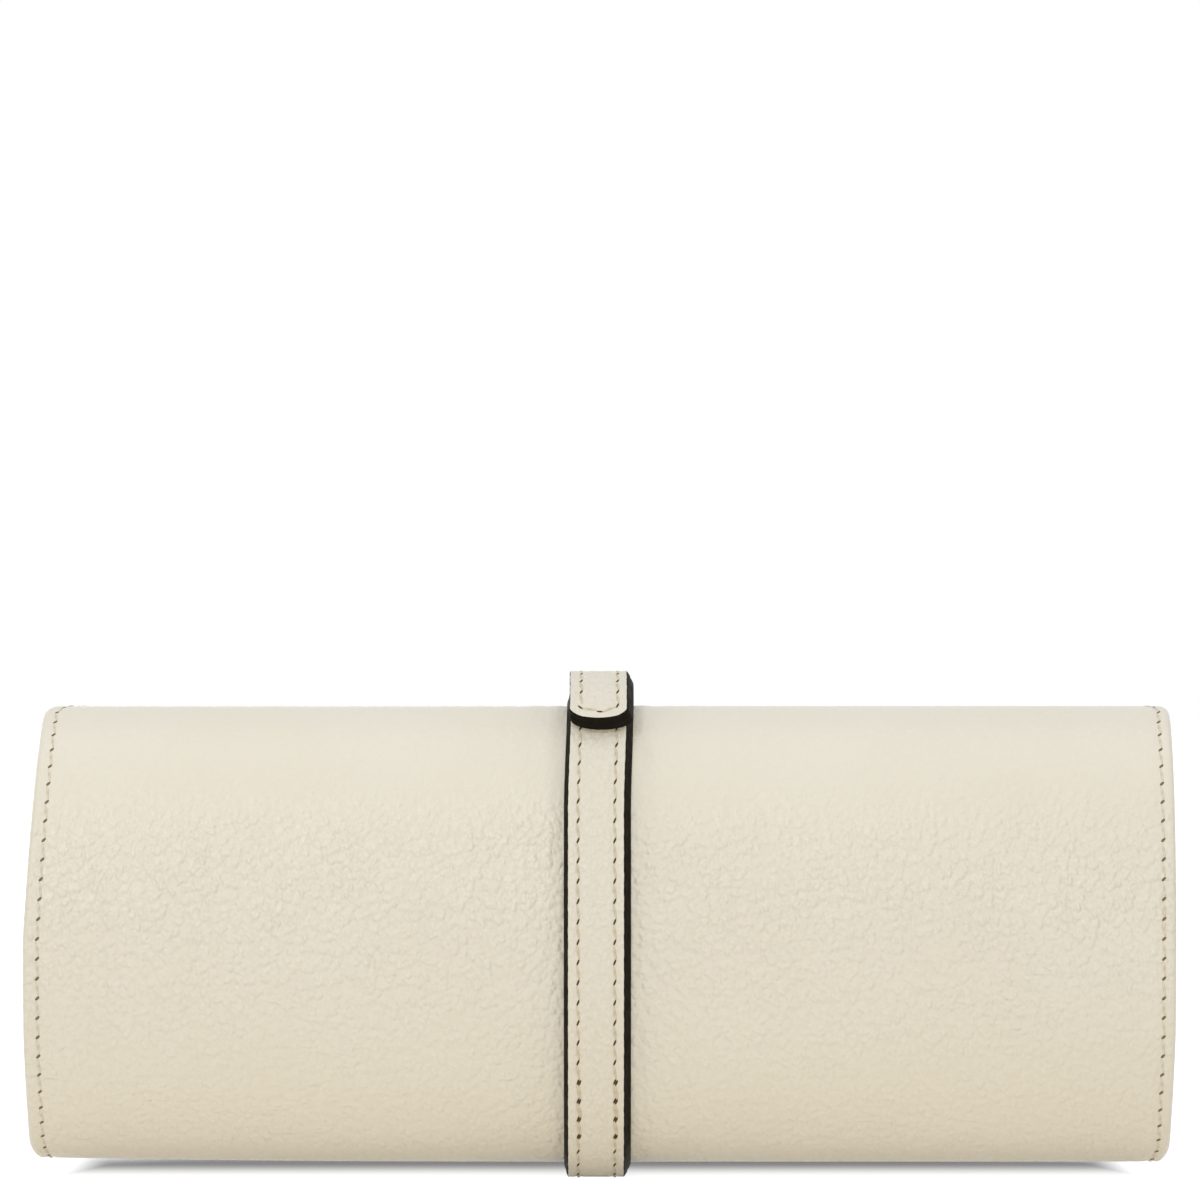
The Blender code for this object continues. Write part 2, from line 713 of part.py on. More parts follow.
def plate_outline():
    """Slider plate seen from the front: a wide nose that tapers to the tail."""
    half = SLIDER_LENGTH / 2
    shoulder = half - SLIDER_LENGTH * SLIDER_NOSE_share
    nose, tail = SLIDER_NOSE_WIDTH / 2, SLIDER_TAIL_WIDTH / 2
    bevel = SLIDER_FLANGE
    return [(-half, -tail + bevel), (-half + bevel, -tail), (shoulder, -nose), (half - bevel, -nose),
            (half, -nose + bevel), (half, nose - bevel), (half - bevel, nose), (shoulder, nose),
            (-half + bevel, tail), (-half, tail - bevel)]


def channel_plate(name, sign, thickness, carrier):
    """One slider plate with its two flanges turned towards the tapes."""
    near = sign * (COMB_HALF + SEAT_GAP)
    lip = sign * (TAPE_THICKNESS / 2 + SEAT_GAP)
    far = near + sign * thickness
    low, high = sorted((lip, far))
    plate = extruded(name, plate_outline(), low, high, "zip_metal", carrier)
    room = COMB_OUTER + SEAT_GAP
    reach = SLIDER_LENGTH / 2 + OVERRUN
    low, high = sorted((near, lip - sign * OVERRUN))
    groove = box_outline(-reach, reach, -room, room)
    cutter = extruded(name + "_groove", groove, low, high, "zip_metal", carrier)
    cut(plate, cutter)
    return plate


def crown_profile(base):
    """Side view of the arch that holds the puller, feet sunk into the plate for the union."""
    half = CROWN_LENGTH / 2
    inside = half - CROWN_POST
    under = base + CROWN_ROOM
    top = under + CROWN_BRIDGE
    foot = base - SLIDER_TOP / 2
    bevel = CROWN_BRIDGE
    return [(-half, foot), (-inside, foot), (-inside, under), (inside, under), (inside, foot),
            (half, foot), (half, top - bevel), (half - bevel, top), (-half + bevel, top),
            (-half, top - bevel)]


def make_slider(side, frame):
    """Slider with its two channel plates, arch and puller, at the closed end of the chain."""
    place = CHAIN_LENGTH / 2 - SLIDER_LENGTH / 2 - SEAT_GAP
    carrier = add_empty(side + "_slider_axis", frame.matrix_world @ Matrix.Translation((place, 0, 0)), frame)
    body = channel_plate(side + "_slider_body", 1, SLIDER_TOP, carrier)
    channel_plate(side + "_slider_base", -1, SLIDER_BOTTOM, carrier)
    base = COMB_HALF + SEAT_GAP + SLIDER_TOP
    half = CROWN_WIDTH / 2
    arch = extruded(side + "_slider_arch", crown_profile(base), -half, half, "zip_metal", carrier,
                    axes=(0, 2, 1))
    cut(body, arch, "UNION")
    height = base + CROWN_ROOM / 2
    pin = carrier.matrix_world @ Matrix.Translation((0, 0, height))
    puller_axis = add_empty(side + "_puller_axis", pin, carrier)
    make_puller(side, puller_axis)


def make_puller(side, axis):
    """A flat puller whose end bar passes under the slider's arch; it lies towards the tail."""
    bar = PULLER_BAR / 2
    wide, tip = PULLER_WIDTH / 2, PULLER_TIP_WIDTH / 2
    far = -PULLER_LENGTH
    corner = PULLER_CORNER
    outline = [(bar, -wide + corner), (bar, wide - corner), (bar - corner, wide), (far + corner, tip),
               (far, tip - corner), (far, -tip + corner), (far + corner, -tip), (bar - corner, -wide)]
    half = PULLER_THICKNESS / 2
    puller = extruded(side + "_zip_puller", outline, -half, half, "zip_metal", axis)
    eye = CROWN_WIDTH / 2 + PULLER_SIDE_GAP
    hole = box_outline(-bar - PULLER_EYE_LENGTH, -bar, -eye, eye)
    cutter = extruded(side + "_puller_eye", hole, -half - OVERRUN, half + OVERRUN, "zip_metal", axis)
    cut(puller, cutter)


def make_zip_pocket(side, track, low, high, height, flip, up, parent):
    """One zipped pocket: panel, band, chain, slider and puller."""
    station = track.station_at_height(height, low, high)
    make_pocket(side, track, station, up, parent)
    frame = add_empty(side + "_zip_frame", zip_matrix(track, station, flip), parent)
    make_chain(side, frame)
    make_slider(side, frame)


def roll_profile():
    """Lengthwise profile of the padded roll: domed ends and a slight crown."""
    half, radius = ROLL_LENGTH / 2, ROLL_DIAMETER / 2 - ROLL_CROWN
    dome = radius / 2
    profile = [(-half, 0)]
    for k in range(1, DOME_STEPS + 1):
        angle = math.pi / 2 * k / DOME_STEPS
        profile.append((-half + dome - dome * math.cos(angle), radius * math.sin(angle)))
    inner = half - dome
    for k in range(1, ROLL_STATIONS):
        share = k / ROLL_STATIONS
        swell = ROLL_CROWN * math.sin(math.pi * share)
        profile.append((-inner + (inner + inner) * share, radius + swell))
    for height, ring in reversed(profile[:DOME_STEPS + 1]):
        profile.append((-height, ring))
    return profile


def lining_y(height):
    """How far back the lining's inner face lies at a height on the upper back."""
    station = BACK.station_at_height(height, 0.0, BACK.station_of(BACK_TURN))
    return BACK.at(station, wrap_layers()[2][1])[0]


def strip_face_y():
    """Front face of the roll's strip, which clears its press stud and the stud's patch."""
    patch_front = lining_y(ROLL_HEIGHT + STRIP_HEIGHT / 2) - SEAT_GAP - PATCH_LEAST
    return patch_front - SEAT_GAP - SNAP_FLANGE - SEAT_GAP - STRIP_THICKNESS


def patch_outline(front_y):
    """Side view of a leather patch: flat in front, and following the lining behind."""
    lining = wrap_layers()[2][1] - SEAT_GAP
    low, high = ROLL_HEIGHT - STRIP_HEIGHT / 2, ROLL_HEIGHT + STRIP_HEIGHT / 2
    back_mid = BACK.station_of(BACK_TURN)
    top = BACK.station_at_height(high, 0.0, back_mid)
    bottom = BACK.station_at_height(low, 0.0, back_mid)
    lower_corner, upper_corner = BACK.at(bottom, lining), BACK.at(top, lining)
    return [(front_y, low), (lower_corner[0], low), (upper_corner[0], high), (front_y, high)]


def make_ring_roll():
    """Padded ring roll on a leather strip, sewn at one end and snapped at the other."""
    face_y = strip_face_y()
    place = Matrix.Translation((STRIP_PIVOT_X, face_y, ROLL_HEIGHT))
    pivot = add_empty("ring_roll_axis", place)
    anchor_end = STRIP_PIVOT_X - FOLD_GAP / 2
    outline = patch_outline(face_y)
    extruded("ring_roll_anchor", outline, anchor_end - PATCH_LENGTH, anchor_end, "cream_leather",
             axes=(1, 2, 0))
    start = FOLD_GAP / 2
    roll_end = start + STRIP_TONGUE / 2 + ROLL_LENGTH
    end = roll_end + STRIP_TONGUE
    half = STRIP_HEIGHT / 2
    corner = PATCH_CORNER
    outline = [(start, -half), (end - corner, -half), (end, -half + corner), (end, half - corner),
               (end - corner, half), (start, half)]
    strip = extruded("ring_roll_strip", outline, 0.0, STRIP_THICKNESS, "cream_leather", pivot,
                     axes=(0, 2, 1))
    centre = (start + STRIP_TONGUE / 2 + ROLL_LENGTH / 2, -SEAT_GAP - ROLL_DIAMETER / 2, 0)
    lay = Matrix.Translation(centre) @ Matrix.Rotation(math.pi / 2, 4, "Y")
    turned("ring_roll", roll_profile(), ROLL_SIDES, "roll_suede", pivot, lay)
    snap_x = end - SNAP_FROM_END
    to_front = Matrix.Rotation(math.pi / 2, 4, "X")
    hole_place = Matrix.Translation((snap_x, STRIP_THICKNESS / 2, 0)) @ to_front
    hole = [(-OVERRUN, 0), (-OVERRUN, SNAP_HOLE_RADIUS), (OVERRUN, SNAP_HOLE_RADIUS), (OVERRUN, 0)]
    cut(strip, turned("snap_hole", hole, SNAP_SIDES, "nickel", pivot, hole_place))
    make_snap(pivot, snap_x, to_front, face_y + STRIP_THICKNESS)


def make_snap(pivot, snap_x, to_front, strip_back):
    """Press stud on its patch, and the cap on the strip's free end."""
    cap_seat = SEAT_GAP
    bore_end = SNAP_POST_LENGTH - SNAP_FLANGE - STRIP_THICKNESS
    top = cap_seat + SNAP_CAP_THICKNESS
    rim = SNAP_CAP_RADIUS - SNAP_FLANGE
    cap = [(bore_end + SEAT_GAP, 0), (bore_end + SEAT_GAP, SNAP_HOLE_RADIUS),
           (cap_seat, SNAP_HOLE_RADIUS), (cap_seat, SNAP_CAP_RADIUS),
           (top - SNAP_FLANGE, SNAP_CAP_RADIUS), (top, rim), (top, 0)]
    place = Matrix.Translation((snap_x, 0, 0)) @ to_front
    turned("ring_snap_cap", cap, SNAP_SIDES, "nickel", pivot, place)
    flange_back = strip_back + SEAT_GAP + SNAP_FLANGE
    world_x = STRIP_PIVOT_X + snap_x
    neck = SNAP_POST_LENGTH - SNAP_FLANGE
    stud = [(0, 0), (0, SNAP_FLANGE_RADIUS), (SNAP_FLANGE, SNAP_FLANGE_RADIUS),
            (SNAP_FLANGE, SNAP_POST_RADIUS), (neck, SNAP_POST_RADIUS),
            (neck, SNAP_HEAD_RADIUS), (SNAP_POST_LENGTH, SNAP_HEAD_RADIUS), (SNAP_POST_LENGTH, 0)]
    stud_place = Matrix.Translation((world_x, flange_back, ROLL_HEIGHT)) @ to_front
    turned("ring_snap_stud", stud, SNAP_SIDES, "nickel", None, stud_place)
    outline = patch_outline(flange_back + SEAT_GAP)
    half = PATCH_LENGTH / 2
    extruded("ring_snap_patch", outline, world_x - half, world_x + half, "cream_leather",
             axes=(1, 2, 0))


def main():
    """Builds the case from the outside in."""
    for piece in list(bpy.data.objects):
        bpy.data.objects.remove(piece, do_unlink=True)
    y, z = front_fold_point()
    front_axis = add_empty("front_fold_axis", Matrix.Translation((0.0, y, z)))
    y, z = tab_hinge_point()
    root_axis = add_empty("tab_root_axis", Matrix.Translation((0.0, y, z)))
    tab = make_tab_track()
    y, z = tab.at(crown_station(tab), STRAP_STACK)
    tip_axis = add_empty("tab_tip_axis", Matrix.Translation((0.0, y, z)), root_axis)

    make_back_wrap()
    make_front_wrap(front_axis)
    make_back_strap()
    strap_station = FRONT.station_of(TAB_TIP_TURN) + CLASP_FROM_TIP
    plate_matrix = clasp_place(FRONT, strap_station, STRAP_OUTER)
    magnet_matrix = clasp_place(FRONT, strap_station, TAB_INNER)
    make_front_strap(front_axis, plate_matrix)
    make_tab(tab, root_axis, tip_axis, magnet_matrix)

    back_mid = BACK.station_of(BACK_TURN)
    back_low = BACK.station_of(BACK_ZIP_LOWEST_TURN)
    back_height = MID_HEIGHT - BACK_ZIP_DROP
    make_zip_pocket("back", BACK, back_mid, back_low, back_height, 1, -1, None)
    front_low = FRONT.station_of(FOLD_TURN)
    front_top = FRONT.station_of(FRONT_ZIP_HIGHEST_TURN)
    front_height = MID_HEIGHT + FRONT_ZIP_RISE
    make_zip_pocket("front", FRONT, front_low, front_top, front_height, -1, 1, front_axis)
    make_ring_roll()


main()
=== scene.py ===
"""Looks of a roll-up jewellery case: cream pebbled calf, closed and standing on its strap.

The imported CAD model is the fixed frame. Each soft piece of it is replaced by a finer one on the
same place: the wrap with its turned edges and stitching, the two-ply strap and closing tab with
painted edges, the microsuede lining, the zipped pockets and the ring roll. The metal keeps its CAD
shape and gets its finish here. Metres, +Z up, and the front faces -Y.
"""
import json
import logging
import math
from dataclasses import dataclass
from enum import Enum
from typing import Callable, Sequence

import bmesh
import bpy
import numpy as np
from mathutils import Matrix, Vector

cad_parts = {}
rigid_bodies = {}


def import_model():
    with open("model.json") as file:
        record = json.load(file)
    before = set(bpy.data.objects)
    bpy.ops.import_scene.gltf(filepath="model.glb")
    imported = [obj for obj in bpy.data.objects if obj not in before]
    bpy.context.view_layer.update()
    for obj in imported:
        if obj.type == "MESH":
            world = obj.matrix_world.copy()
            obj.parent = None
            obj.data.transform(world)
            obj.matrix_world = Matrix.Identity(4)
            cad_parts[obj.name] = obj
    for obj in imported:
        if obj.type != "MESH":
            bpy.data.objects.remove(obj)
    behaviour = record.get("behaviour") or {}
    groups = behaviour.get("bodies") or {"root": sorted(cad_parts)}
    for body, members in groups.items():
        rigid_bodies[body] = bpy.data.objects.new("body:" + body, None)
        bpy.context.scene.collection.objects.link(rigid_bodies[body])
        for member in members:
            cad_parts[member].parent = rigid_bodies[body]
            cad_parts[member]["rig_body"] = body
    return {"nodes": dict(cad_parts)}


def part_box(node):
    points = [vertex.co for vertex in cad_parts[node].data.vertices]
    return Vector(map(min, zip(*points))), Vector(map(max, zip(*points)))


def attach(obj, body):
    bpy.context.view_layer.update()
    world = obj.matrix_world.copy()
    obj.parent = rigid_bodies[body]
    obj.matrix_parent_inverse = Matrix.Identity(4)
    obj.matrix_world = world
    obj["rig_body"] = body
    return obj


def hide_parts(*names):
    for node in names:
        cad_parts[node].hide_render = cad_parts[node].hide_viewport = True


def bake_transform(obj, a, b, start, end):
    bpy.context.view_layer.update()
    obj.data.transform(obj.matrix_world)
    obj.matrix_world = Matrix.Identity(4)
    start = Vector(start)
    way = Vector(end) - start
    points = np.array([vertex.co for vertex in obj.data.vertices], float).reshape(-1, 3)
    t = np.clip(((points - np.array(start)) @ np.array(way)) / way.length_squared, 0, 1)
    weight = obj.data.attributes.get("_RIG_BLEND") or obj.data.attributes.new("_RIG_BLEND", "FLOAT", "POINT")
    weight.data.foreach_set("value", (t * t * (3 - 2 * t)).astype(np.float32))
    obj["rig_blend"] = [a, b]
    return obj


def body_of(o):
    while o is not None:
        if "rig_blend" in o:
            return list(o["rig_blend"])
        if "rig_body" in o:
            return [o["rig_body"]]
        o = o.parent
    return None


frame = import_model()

log = logging.getLogger("jewellery_case")

Array = np.ndarray
Placer = Callable[[bpy.types.Object], object]

MM = 0.001
FLAT_MAP = "flat"

# Edges sharper than this stay sharp, on soft pieces and on the metal.
SHARP_SOFT = math.radians(50)
SHARP_METAL = math.radians(35)

# Rows of a grid that are closer than this are joined.
ROW_GAP = 0.04 * MM


class Body(str, Enum):
    """CAD bodies that the pieces ride on."""

    BACK = "back_leaf"
    FRONT = "front_leaf"
    TAB_ROOT = "tab_root"
    TAB_TIP = "tab_tip"
    ROLL = "ring_roll_bar"


# Profiles and surfaces


@dataclass(frozen=True)
class Profile:
    """A side profile in the YZ plane, addressed by its length in metres.

    Its normal is the run's left-hand one, which points out of the case on the way up the front.
    """

    points: Array
    stations: Array
    normals: Array
    turns: Array

    @classmethod
    def through(cls, points: Array, turns: Array | None = None) -> "Profile":
        """Measures a run of (y, z) points.

        Args:
            points: dense points, one row each.
            turns: the turn angle of each point, if it has one.

        Returns:
            The profile, with its length and unit normal at each point.
        """
        steps = np.hypot(*np.diff(points, axis=0).T)
        stations = np.concatenate(([0.0], np.cumsum(steps)))
        tangents = np.gradient(points, stations, axis=0)
        tangents /= np.linalg.norm(tangents, axis=1)[:, None]
        normals = np.stack((-tangents[:, 1], tangents[:, 0]), axis=1)
        return cls(points, stations, normals, stations if turns is None else turns)

    @property
    def length(self) -> float:
        """Whole length of the run."""
        return float(self.stations[-1])

    def station(self, turn: float) -> float:
        """Length along the run at a turn angle."""
        return float(np.interp(turn, self.turns, self.stations))

    def station_at_height(self, height: float, low: float, high: float) -> float:
        """Length along the run where it passes a height, between two turn angles.

        Args:
            height: the height.
            low: turn angle where the search starts.
            high: turn angle where it ends.

        Returns:
            The length.
        """
        first, last = np.searchsorted(self.turns, (low, high))
        z, s = self.points[first:last, 1], self.stations[first:last]
        order = np.argsort(z)
        return float(np.interp(height, z[order], s[order]))

    def at(self, station: Array, offset: Array) -> tuple[Array, Array]:
        """Points on the profile: its own point plus offset times its unit normal.

        Args:
            station: lengths along the run.
            offset: distances out along the normal.

        Returns:
            The y and z values.
        """
        ny = np.interp(station, self.stations, self.normals[:, 0])
        nz = np.interp(station, self.stations, self.normals[:, 1])
        size = np.hypot(ny, nz)
        y = np.interp(station, self.stations, self.points[:, 0])
        z = np.interp(station, self.stations, self.points[:, 1])
        return y + offset * ny / size, z + offset * nz / size


@dataclass(frozen=True)
class CaseForm:
    """Sizes of the rolled case, the same as the CAD's, and the profiles that follow from them."""

    length: float = 250 * MM
    height: float = 100 * MM
    depth: float = 55 * MM
    bottom: float = 3.3 * MM
    base_sag: float = 0.6 * MM
    base_power: float = 2.2
    base_blend: float = 0.5 * MM
    back_top_drop: float = 4.9 * MM
    flap_past_top: float = 6 * MM
    back_past_top: float = 5 * MM
    fold_turn: float = -46.0
    tab_tip_turn: float = 57.0
    tab_hinge_turn: float = -237.0
    tab_standoff: float = 1.4 * MM
    tab_lean: float = math.radians(14)
    tab_stack: float = 3.0 * MM
    tab_handles: tuple[float, float] = (7 * MM, 9 * MM)
    strap_outer: float = 3.3 * MM
    lean_left: float = 3.15 * MM
    tuck: float = 1.5 * MM
    tuck_below: float = 8 * MM
    taper: float = 0.4 * MM
    taper_from: float = 32 * MM
    taper_to: float = 14 * MM
    drift_low: float = -0.25 * MM
    drift_high: float = 0.40 * MM
    drift_from: float = 80 * MM
    drift_to: float = 106 * MM
    lift_left: float = 0.95 * MM
    lift_from: float = 26 * MM
    lift_to: float = 8 * MM

    @property
    def middle(self) -> float:
        """Height of the profile's widest place."""
        return self.bottom + self.height / 2

    def past_top(self, distance: float) -> float:
        """Turn angle past the top at which the profile has gone a distance across."""
        return math.degrees(math.asin(distance / (self.depth / 2)))

    def wrap(self) -> Profile:
        """The wrap's outer face, from its inner edge down the back, round the base and up.

        Formula: an ellipse above the middle and a superellipse below it. Where that sinks below
        the base, z is the base plus (rise + sqrt(rise^2 + blend^2)) / 2, which is almost flat.
        The back's top half is lower, so that it passes under the front's.

        Returns:
            The profile, from the back's inner edge to the flap's.
        """
        start = -270.0 - self.past_top(self.back_past_top)
        end = 90.0 + self.past_top(self.flap_past_top)
        turns = np.linspace(start, end, 3000)
        across, up = np.cos(np.radians(turns)), np.sin(np.radians(turns))
        power = np.where(up >= 0, 1.0, 2 / self.base_power)
        top_half = np.where(turns < -90, self.height / 2 - self.back_top_drop, self.height / 2)
        half = np.where(up >= 0, top_half, self.height / 2 + self.base_sag)
        y = -self.depth / 2 * np.sign(across) * np.abs(across) ** power
        rise = self.middle + half * np.sign(up) * np.abs(up) ** power - self.bottom
        z = self.bottom + (rise + np.hypot(rise, self.base_blend)) / 2
        return Profile.through(np.stack((y, z), axis=1), turns)

    def tab(self, wrap: Profile) -> Profile:
        """The closing tab's inner face from its tip, over the crown and down to its hinge.

        Formula: the wrap's profile moved out as far as the crown, then one cubic Bezier curve.

        Args:
            wrap: the wrap's profile.

        Returns:
            The profile, from tip to hinge.
        """
        inner = self.strap_outer + self.tab_standoff
        tip, crown = wrap.station(self.tab_tip_turn), wrap.station(90.0)
        over = np.stack(wrap.at(np.linspace(tip, crown, 200), np.full(200, inner)), axis=1)
        lean = np.array((math.sin(self.tab_lean), -math.cos(self.tab_lean)))
        outward = np.array((math.cos(self.tab_lean), math.sin(self.tab_lean)))
        hinge = np.array(wrap.at(wrap.station(self.tab_hinge_turn), self.strap_outer))
        foot = hinge - self.tab_stack * outward
        top = over[-1]
        first, second = top + (self.tab_handles[0], 0.0), foot - self.tab_handles[1] * lean
        t = np.linspace(0, 1, 240)[1:, None]
        u = 1 - t
        down = u ** 3 * top + 3 * u * u * t * first + 3 * u * t * t * second + t ** 3 * foot
        return Profile.through(np.concatenate((over, down)))


FORM = CaseForm()
WRAP = FORM.wrap()
TAB = FORM.tab(WRAP)

# The middle of the base, as a turn angle.
BASE_TURN = -90.0

Relief = Callable[[Array, Array], Array]


def level(x: Array, s: Array) -> Array:
    """No relief: zero everywhere."""
    return np.zeros(np.broadcast(x, s).shape)


@dataclass(frozen=True)
class Ground:
    """A surface that flat pieces are laid on: flat x and length s become a place in the case.

    Formula: (x plus the wrap's lean, the profile's point at s moved out by offset plus relief).
    Where it faces inward, offsets count into the case.
    """

    profile: Profile
    relief: Relief = level
    leans: bool = True
    drifts: bool = False
    facing: int = 1

    def place(self, x: Array, s: Array, offset: Array) -> Array:
        """Places flat points in the case.

        Args:
            x: distance along the case from its middle.
            s: length along the profile.
            offset: height over the outer leather face.

        Returns:
            World points, one row each.
        """
        y, z = self.profile.at(s, offset * self.facing + self.relief(x, s))
        if self.leans:
            x, z = x + lean_shift(x, z), z + end_lift(x, z)
        if self.drifts:
            x = x + drift_shift(z)
        return np.stack((x, y, z), axis=-1)


def eased(value: Array, first: float, last: float) -> Array:
    """A smooth step: 0 up to the first value, 1 from the last one on, and t*t*(3 - 2t) between.

    Args:
        value: the values.
        first: where the step starts.
        last: where it ends, on either side of the first.

    Returns:
        The step at each value.
    """
    t = np.clip((value - first) / (last - first), 0, 1)
    return t * t * (3 - 2 * t)


def lean_shift(x: Array, z: Array) -> Array:
    """How far the ends go in: the left one leans in above the middle, both tuck in at the base.

    Args:
        x: places along the case.
        z: heights.

    Returns:
        Shift along the case, positive to the right.
    """
    rise = np.clip((z - FORM.middle) / (FORM.height / 2), 0, 1)
    outer = np.clip(-x / (FORM.length / 2), 0, 1)
    low = np.clip((FORM.tuck_below - z) / (FORM.tuck_below - FORM.bottom), 0, 1)
    slim = np.clip((FORM.taper_from - z) / (FORM.taper_from - FORM.taper_to), 0, 1)
    tuck = FORM.tuck * low * low + FORM.taper * slim
    tuck = tuck * np.sign(x) * np.abs(x / (FORM.length / 2)) ** 6
    return FORM.lean_left * rise * outer ** 2 - tuck


def end_lift(x: Array, z: Array) -> Array:
    """How far the base rises towards the left end."""
    outer = np.clip(-x / (FORM.length / 2), 0, 1)
    return FORM.lift_left * outer ** 2.5 * eased(z, FORM.lift_from, FORM.lift_to)


def drift_shift(z: Array) -> Array:
    """How far the strap runs off its middle: to the left, and to the right at the top."""
    rise = eased(z, FORM.drift_from, FORM.drift_to)
    return FORM.drift_low + (FORM.drift_high - FORM.drift_low) * rise


# Meshes


@dataclass
class Shell:
    """Points, faces, flat coordinates of the faces' corners and slots of one closed piece."""

    points: Array
    faces: list[Array]
    flats: list[Array]
    slots: list[Array]

    @classmethod
    def mapped(cls, points: Array, flat: Array, faces: list[Array]) -> "Shell":
        """A shell in one slot, whose flat coordinates are given for each point."""
        return cls(points, faces, [flat[f] for f in faces], [np.zeros(len(f)) for f in faces])

    def to_object(self, name: str, finishes: Sequence[bpy.types.Material]) -> bpy.types.Object:
        """Makes the Blender object, smooth shaded and with its flat map.

        Args:
            name: the object's name.
            finishes: materials in the order of the faces' slots.

        Returns:
            The object, linked to the scene.
        """
        mesh = bpy.data.meshes.new(name)
        corners = np.concatenate([f.ravel() for f in self.faces])
        sizes = np.concatenate([np.full(len(f), f.shape[1]) for f in self.faces])
        mesh.vertices.add(len(self.points))
        mesh.vertices.foreach_set("co", self.points.astype(np.float32).ravel())
        mesh.loops.add(len(corners))
        mesh.loops.foreach_set("vertex_index", corners.astype(np.int32))
        mesh.polygons.add(len(sizes))
        starts = np.concatenate(([0], np.cumsum(sizes)[:-1]))
        mesh.polygons.foreach_set("loop_start", starts.astype(np.int32))
        mesh.polygons.foreach_set("material_index", np.concatenate(self.slots).astype(np.int32))
        mesh.update(calc_edges=True)
        layer = mesh.uv_layers.new(name=FLAT_MAP)
        flat = np.concatenate([f.reshape(-1, 2) for f in self.flats])
        layer.data.foreach_set("uv", flat.astype(np.float32).ravel())
        for finish in finishes:
            mesh.materials.append(finish)
        mesh.shade_smooth()
        mesh.set_sharp_from_angle(angle=SHARP_SOFT)
        made = bpy.data.objects.new(name, mesh)
        bpy.context.scene.collection.objects.link(made)
        return made


def grid_faces(rows: int, columns: int, first: int = 0, flip: bool = False) -> Array:
    """Quads of a grid of points numbered row by row.

    Args:
        rows: rows of points.
        columns: points in a row.
        first: number of the first point.
        flip: turns the faces round.

    Returns:
        Four point numbers a face.
    """
    i, j = np.meshgrid(np.arange(rows - 1), np.arange(columns - 1), indexing="ij")
    a = first + i * columns + j
    quads = np.stack((a, a + 1, a + columns + 1, a + columns), axis=-1).reshape(-1, 4)
    return quads[:, ::-1] if flip else quads


@dataclass(frozen=True)
class Corner:
    """Corner radii of a cut piece at one of its two cross edges.

    The corners are quarter circles, or quarter ellipses where depth, their reach along the
    piece, isn't 0.
    """

    left: float = 0.0
    right: float = 0.0
    depth: float = 0.0

    def along(self, radius: float) -> float:
        """Reach along the piece of the corner with this radius."""
        return self.depth if self.depth and radius else radius


@dataclass(frozen=True)
class Cut:
    """The flat shape that a piece is cut to: from start to end, with rounded corners."""

    start: float
    end: float
    left: float
    right: float
    first: Corner = Corner()
    last: Corner = Corner()

    def shrunk(self, edge: float) -> "Cut":
        """The same shape with all its edges moved in.

        Args:
            edge: distance that they move.

        Returns:
            The smaller shape.
        """

        def less(corner: Corner) -> Corner:
            """Radii of the shrunk corner."""
            return Corner(max(corner.left - edge, 0.0), max(corner.right - edge, 0.0),
                          max(corner.depth - edge, 0.0))

        return Cut(self.start + edge, self.end - edge, self.left + edge, self.right - edge,
                   less(self.first), less(self.last))

    def rows(self, pitch: float) -> Array:
        """Lengths of the cross rows: evenly spaced, and closer round the corners.

        Args:
            pitch: distance between the even rows.

        Returns:
            The lengths, in order.
        """
        count = max(int(round((self.end - self.start) / pitch)), 2)
        parts = [np.linspace(self.start, self.end, count + 1)]
        angles = np.linspace(0, math.pi / 2, 9)
        for radius in (self.first.left, self.first.right):
            reach = self.first.along(radius)
            parts.append(self.start + reach - reach * np.sin(angles))
        for radius in (self.last.left, self.last.right):
            reach = self.last.along(radius)
            parts.append(self.end - reach + reach * np.sin(angles))
        rows = np.unique(np.round(np.concatenate(parts), 7))
        gaps = np.concatenate(([1.0], np.diff(rows)))
        kept = rows[gaps > ROW_GAP]
        kept[0], kept[-1] = self.start, self.end
        return kept

    def edges(self, s: Array) -> tuple[Array, Array]:
        """Left and right limit of each row: a corner takes r * (1 - sqrt(1 - d*d)) off it.

        Args:
            s: lengths along the profile.

        Returns:
            The left and the right limits.
        """

        def taken(corner: Corner, radius: float, from_end: Array) -> Array:
            """Width that a corner takes off at a distance from its cross edge."""
            d = np.clip(1 - from_end / max(corner.along(radius), 0.001 * MM), 0, 1)
            return radius * (1 - np.sqrt(1 - d * d))

        from_first, from_last = s - self.start, self.end - s
        left = self.left + taken(self.first, self.first.left, from_first)
        left = left + taken(self.last, self.last.left, from_last)
        right = self.right - taken(self.first, self.first.right, from_first)
        right = right - taken(self.last, self.last.right, from_last)
        return left, right


@dataclass(frozen=True)
class Edge:
    """How a piece's edge goes from its upper to its lower face.

    bulge is the depth of its rounding, and left, right and tip are how far the lower face
    stands out past the upper one at each side. A seam is a cross edge that meets the next piece
    of the same sheet, so it is cut square and not rounded.
    """

    bulge: float
    left: float = 0.0
    right: float = 0.0
    tip: float = 0.0
    steps: int = 6
    ragged: float = 0.0
    first_seam: bool = False
    last_seam: bool = False


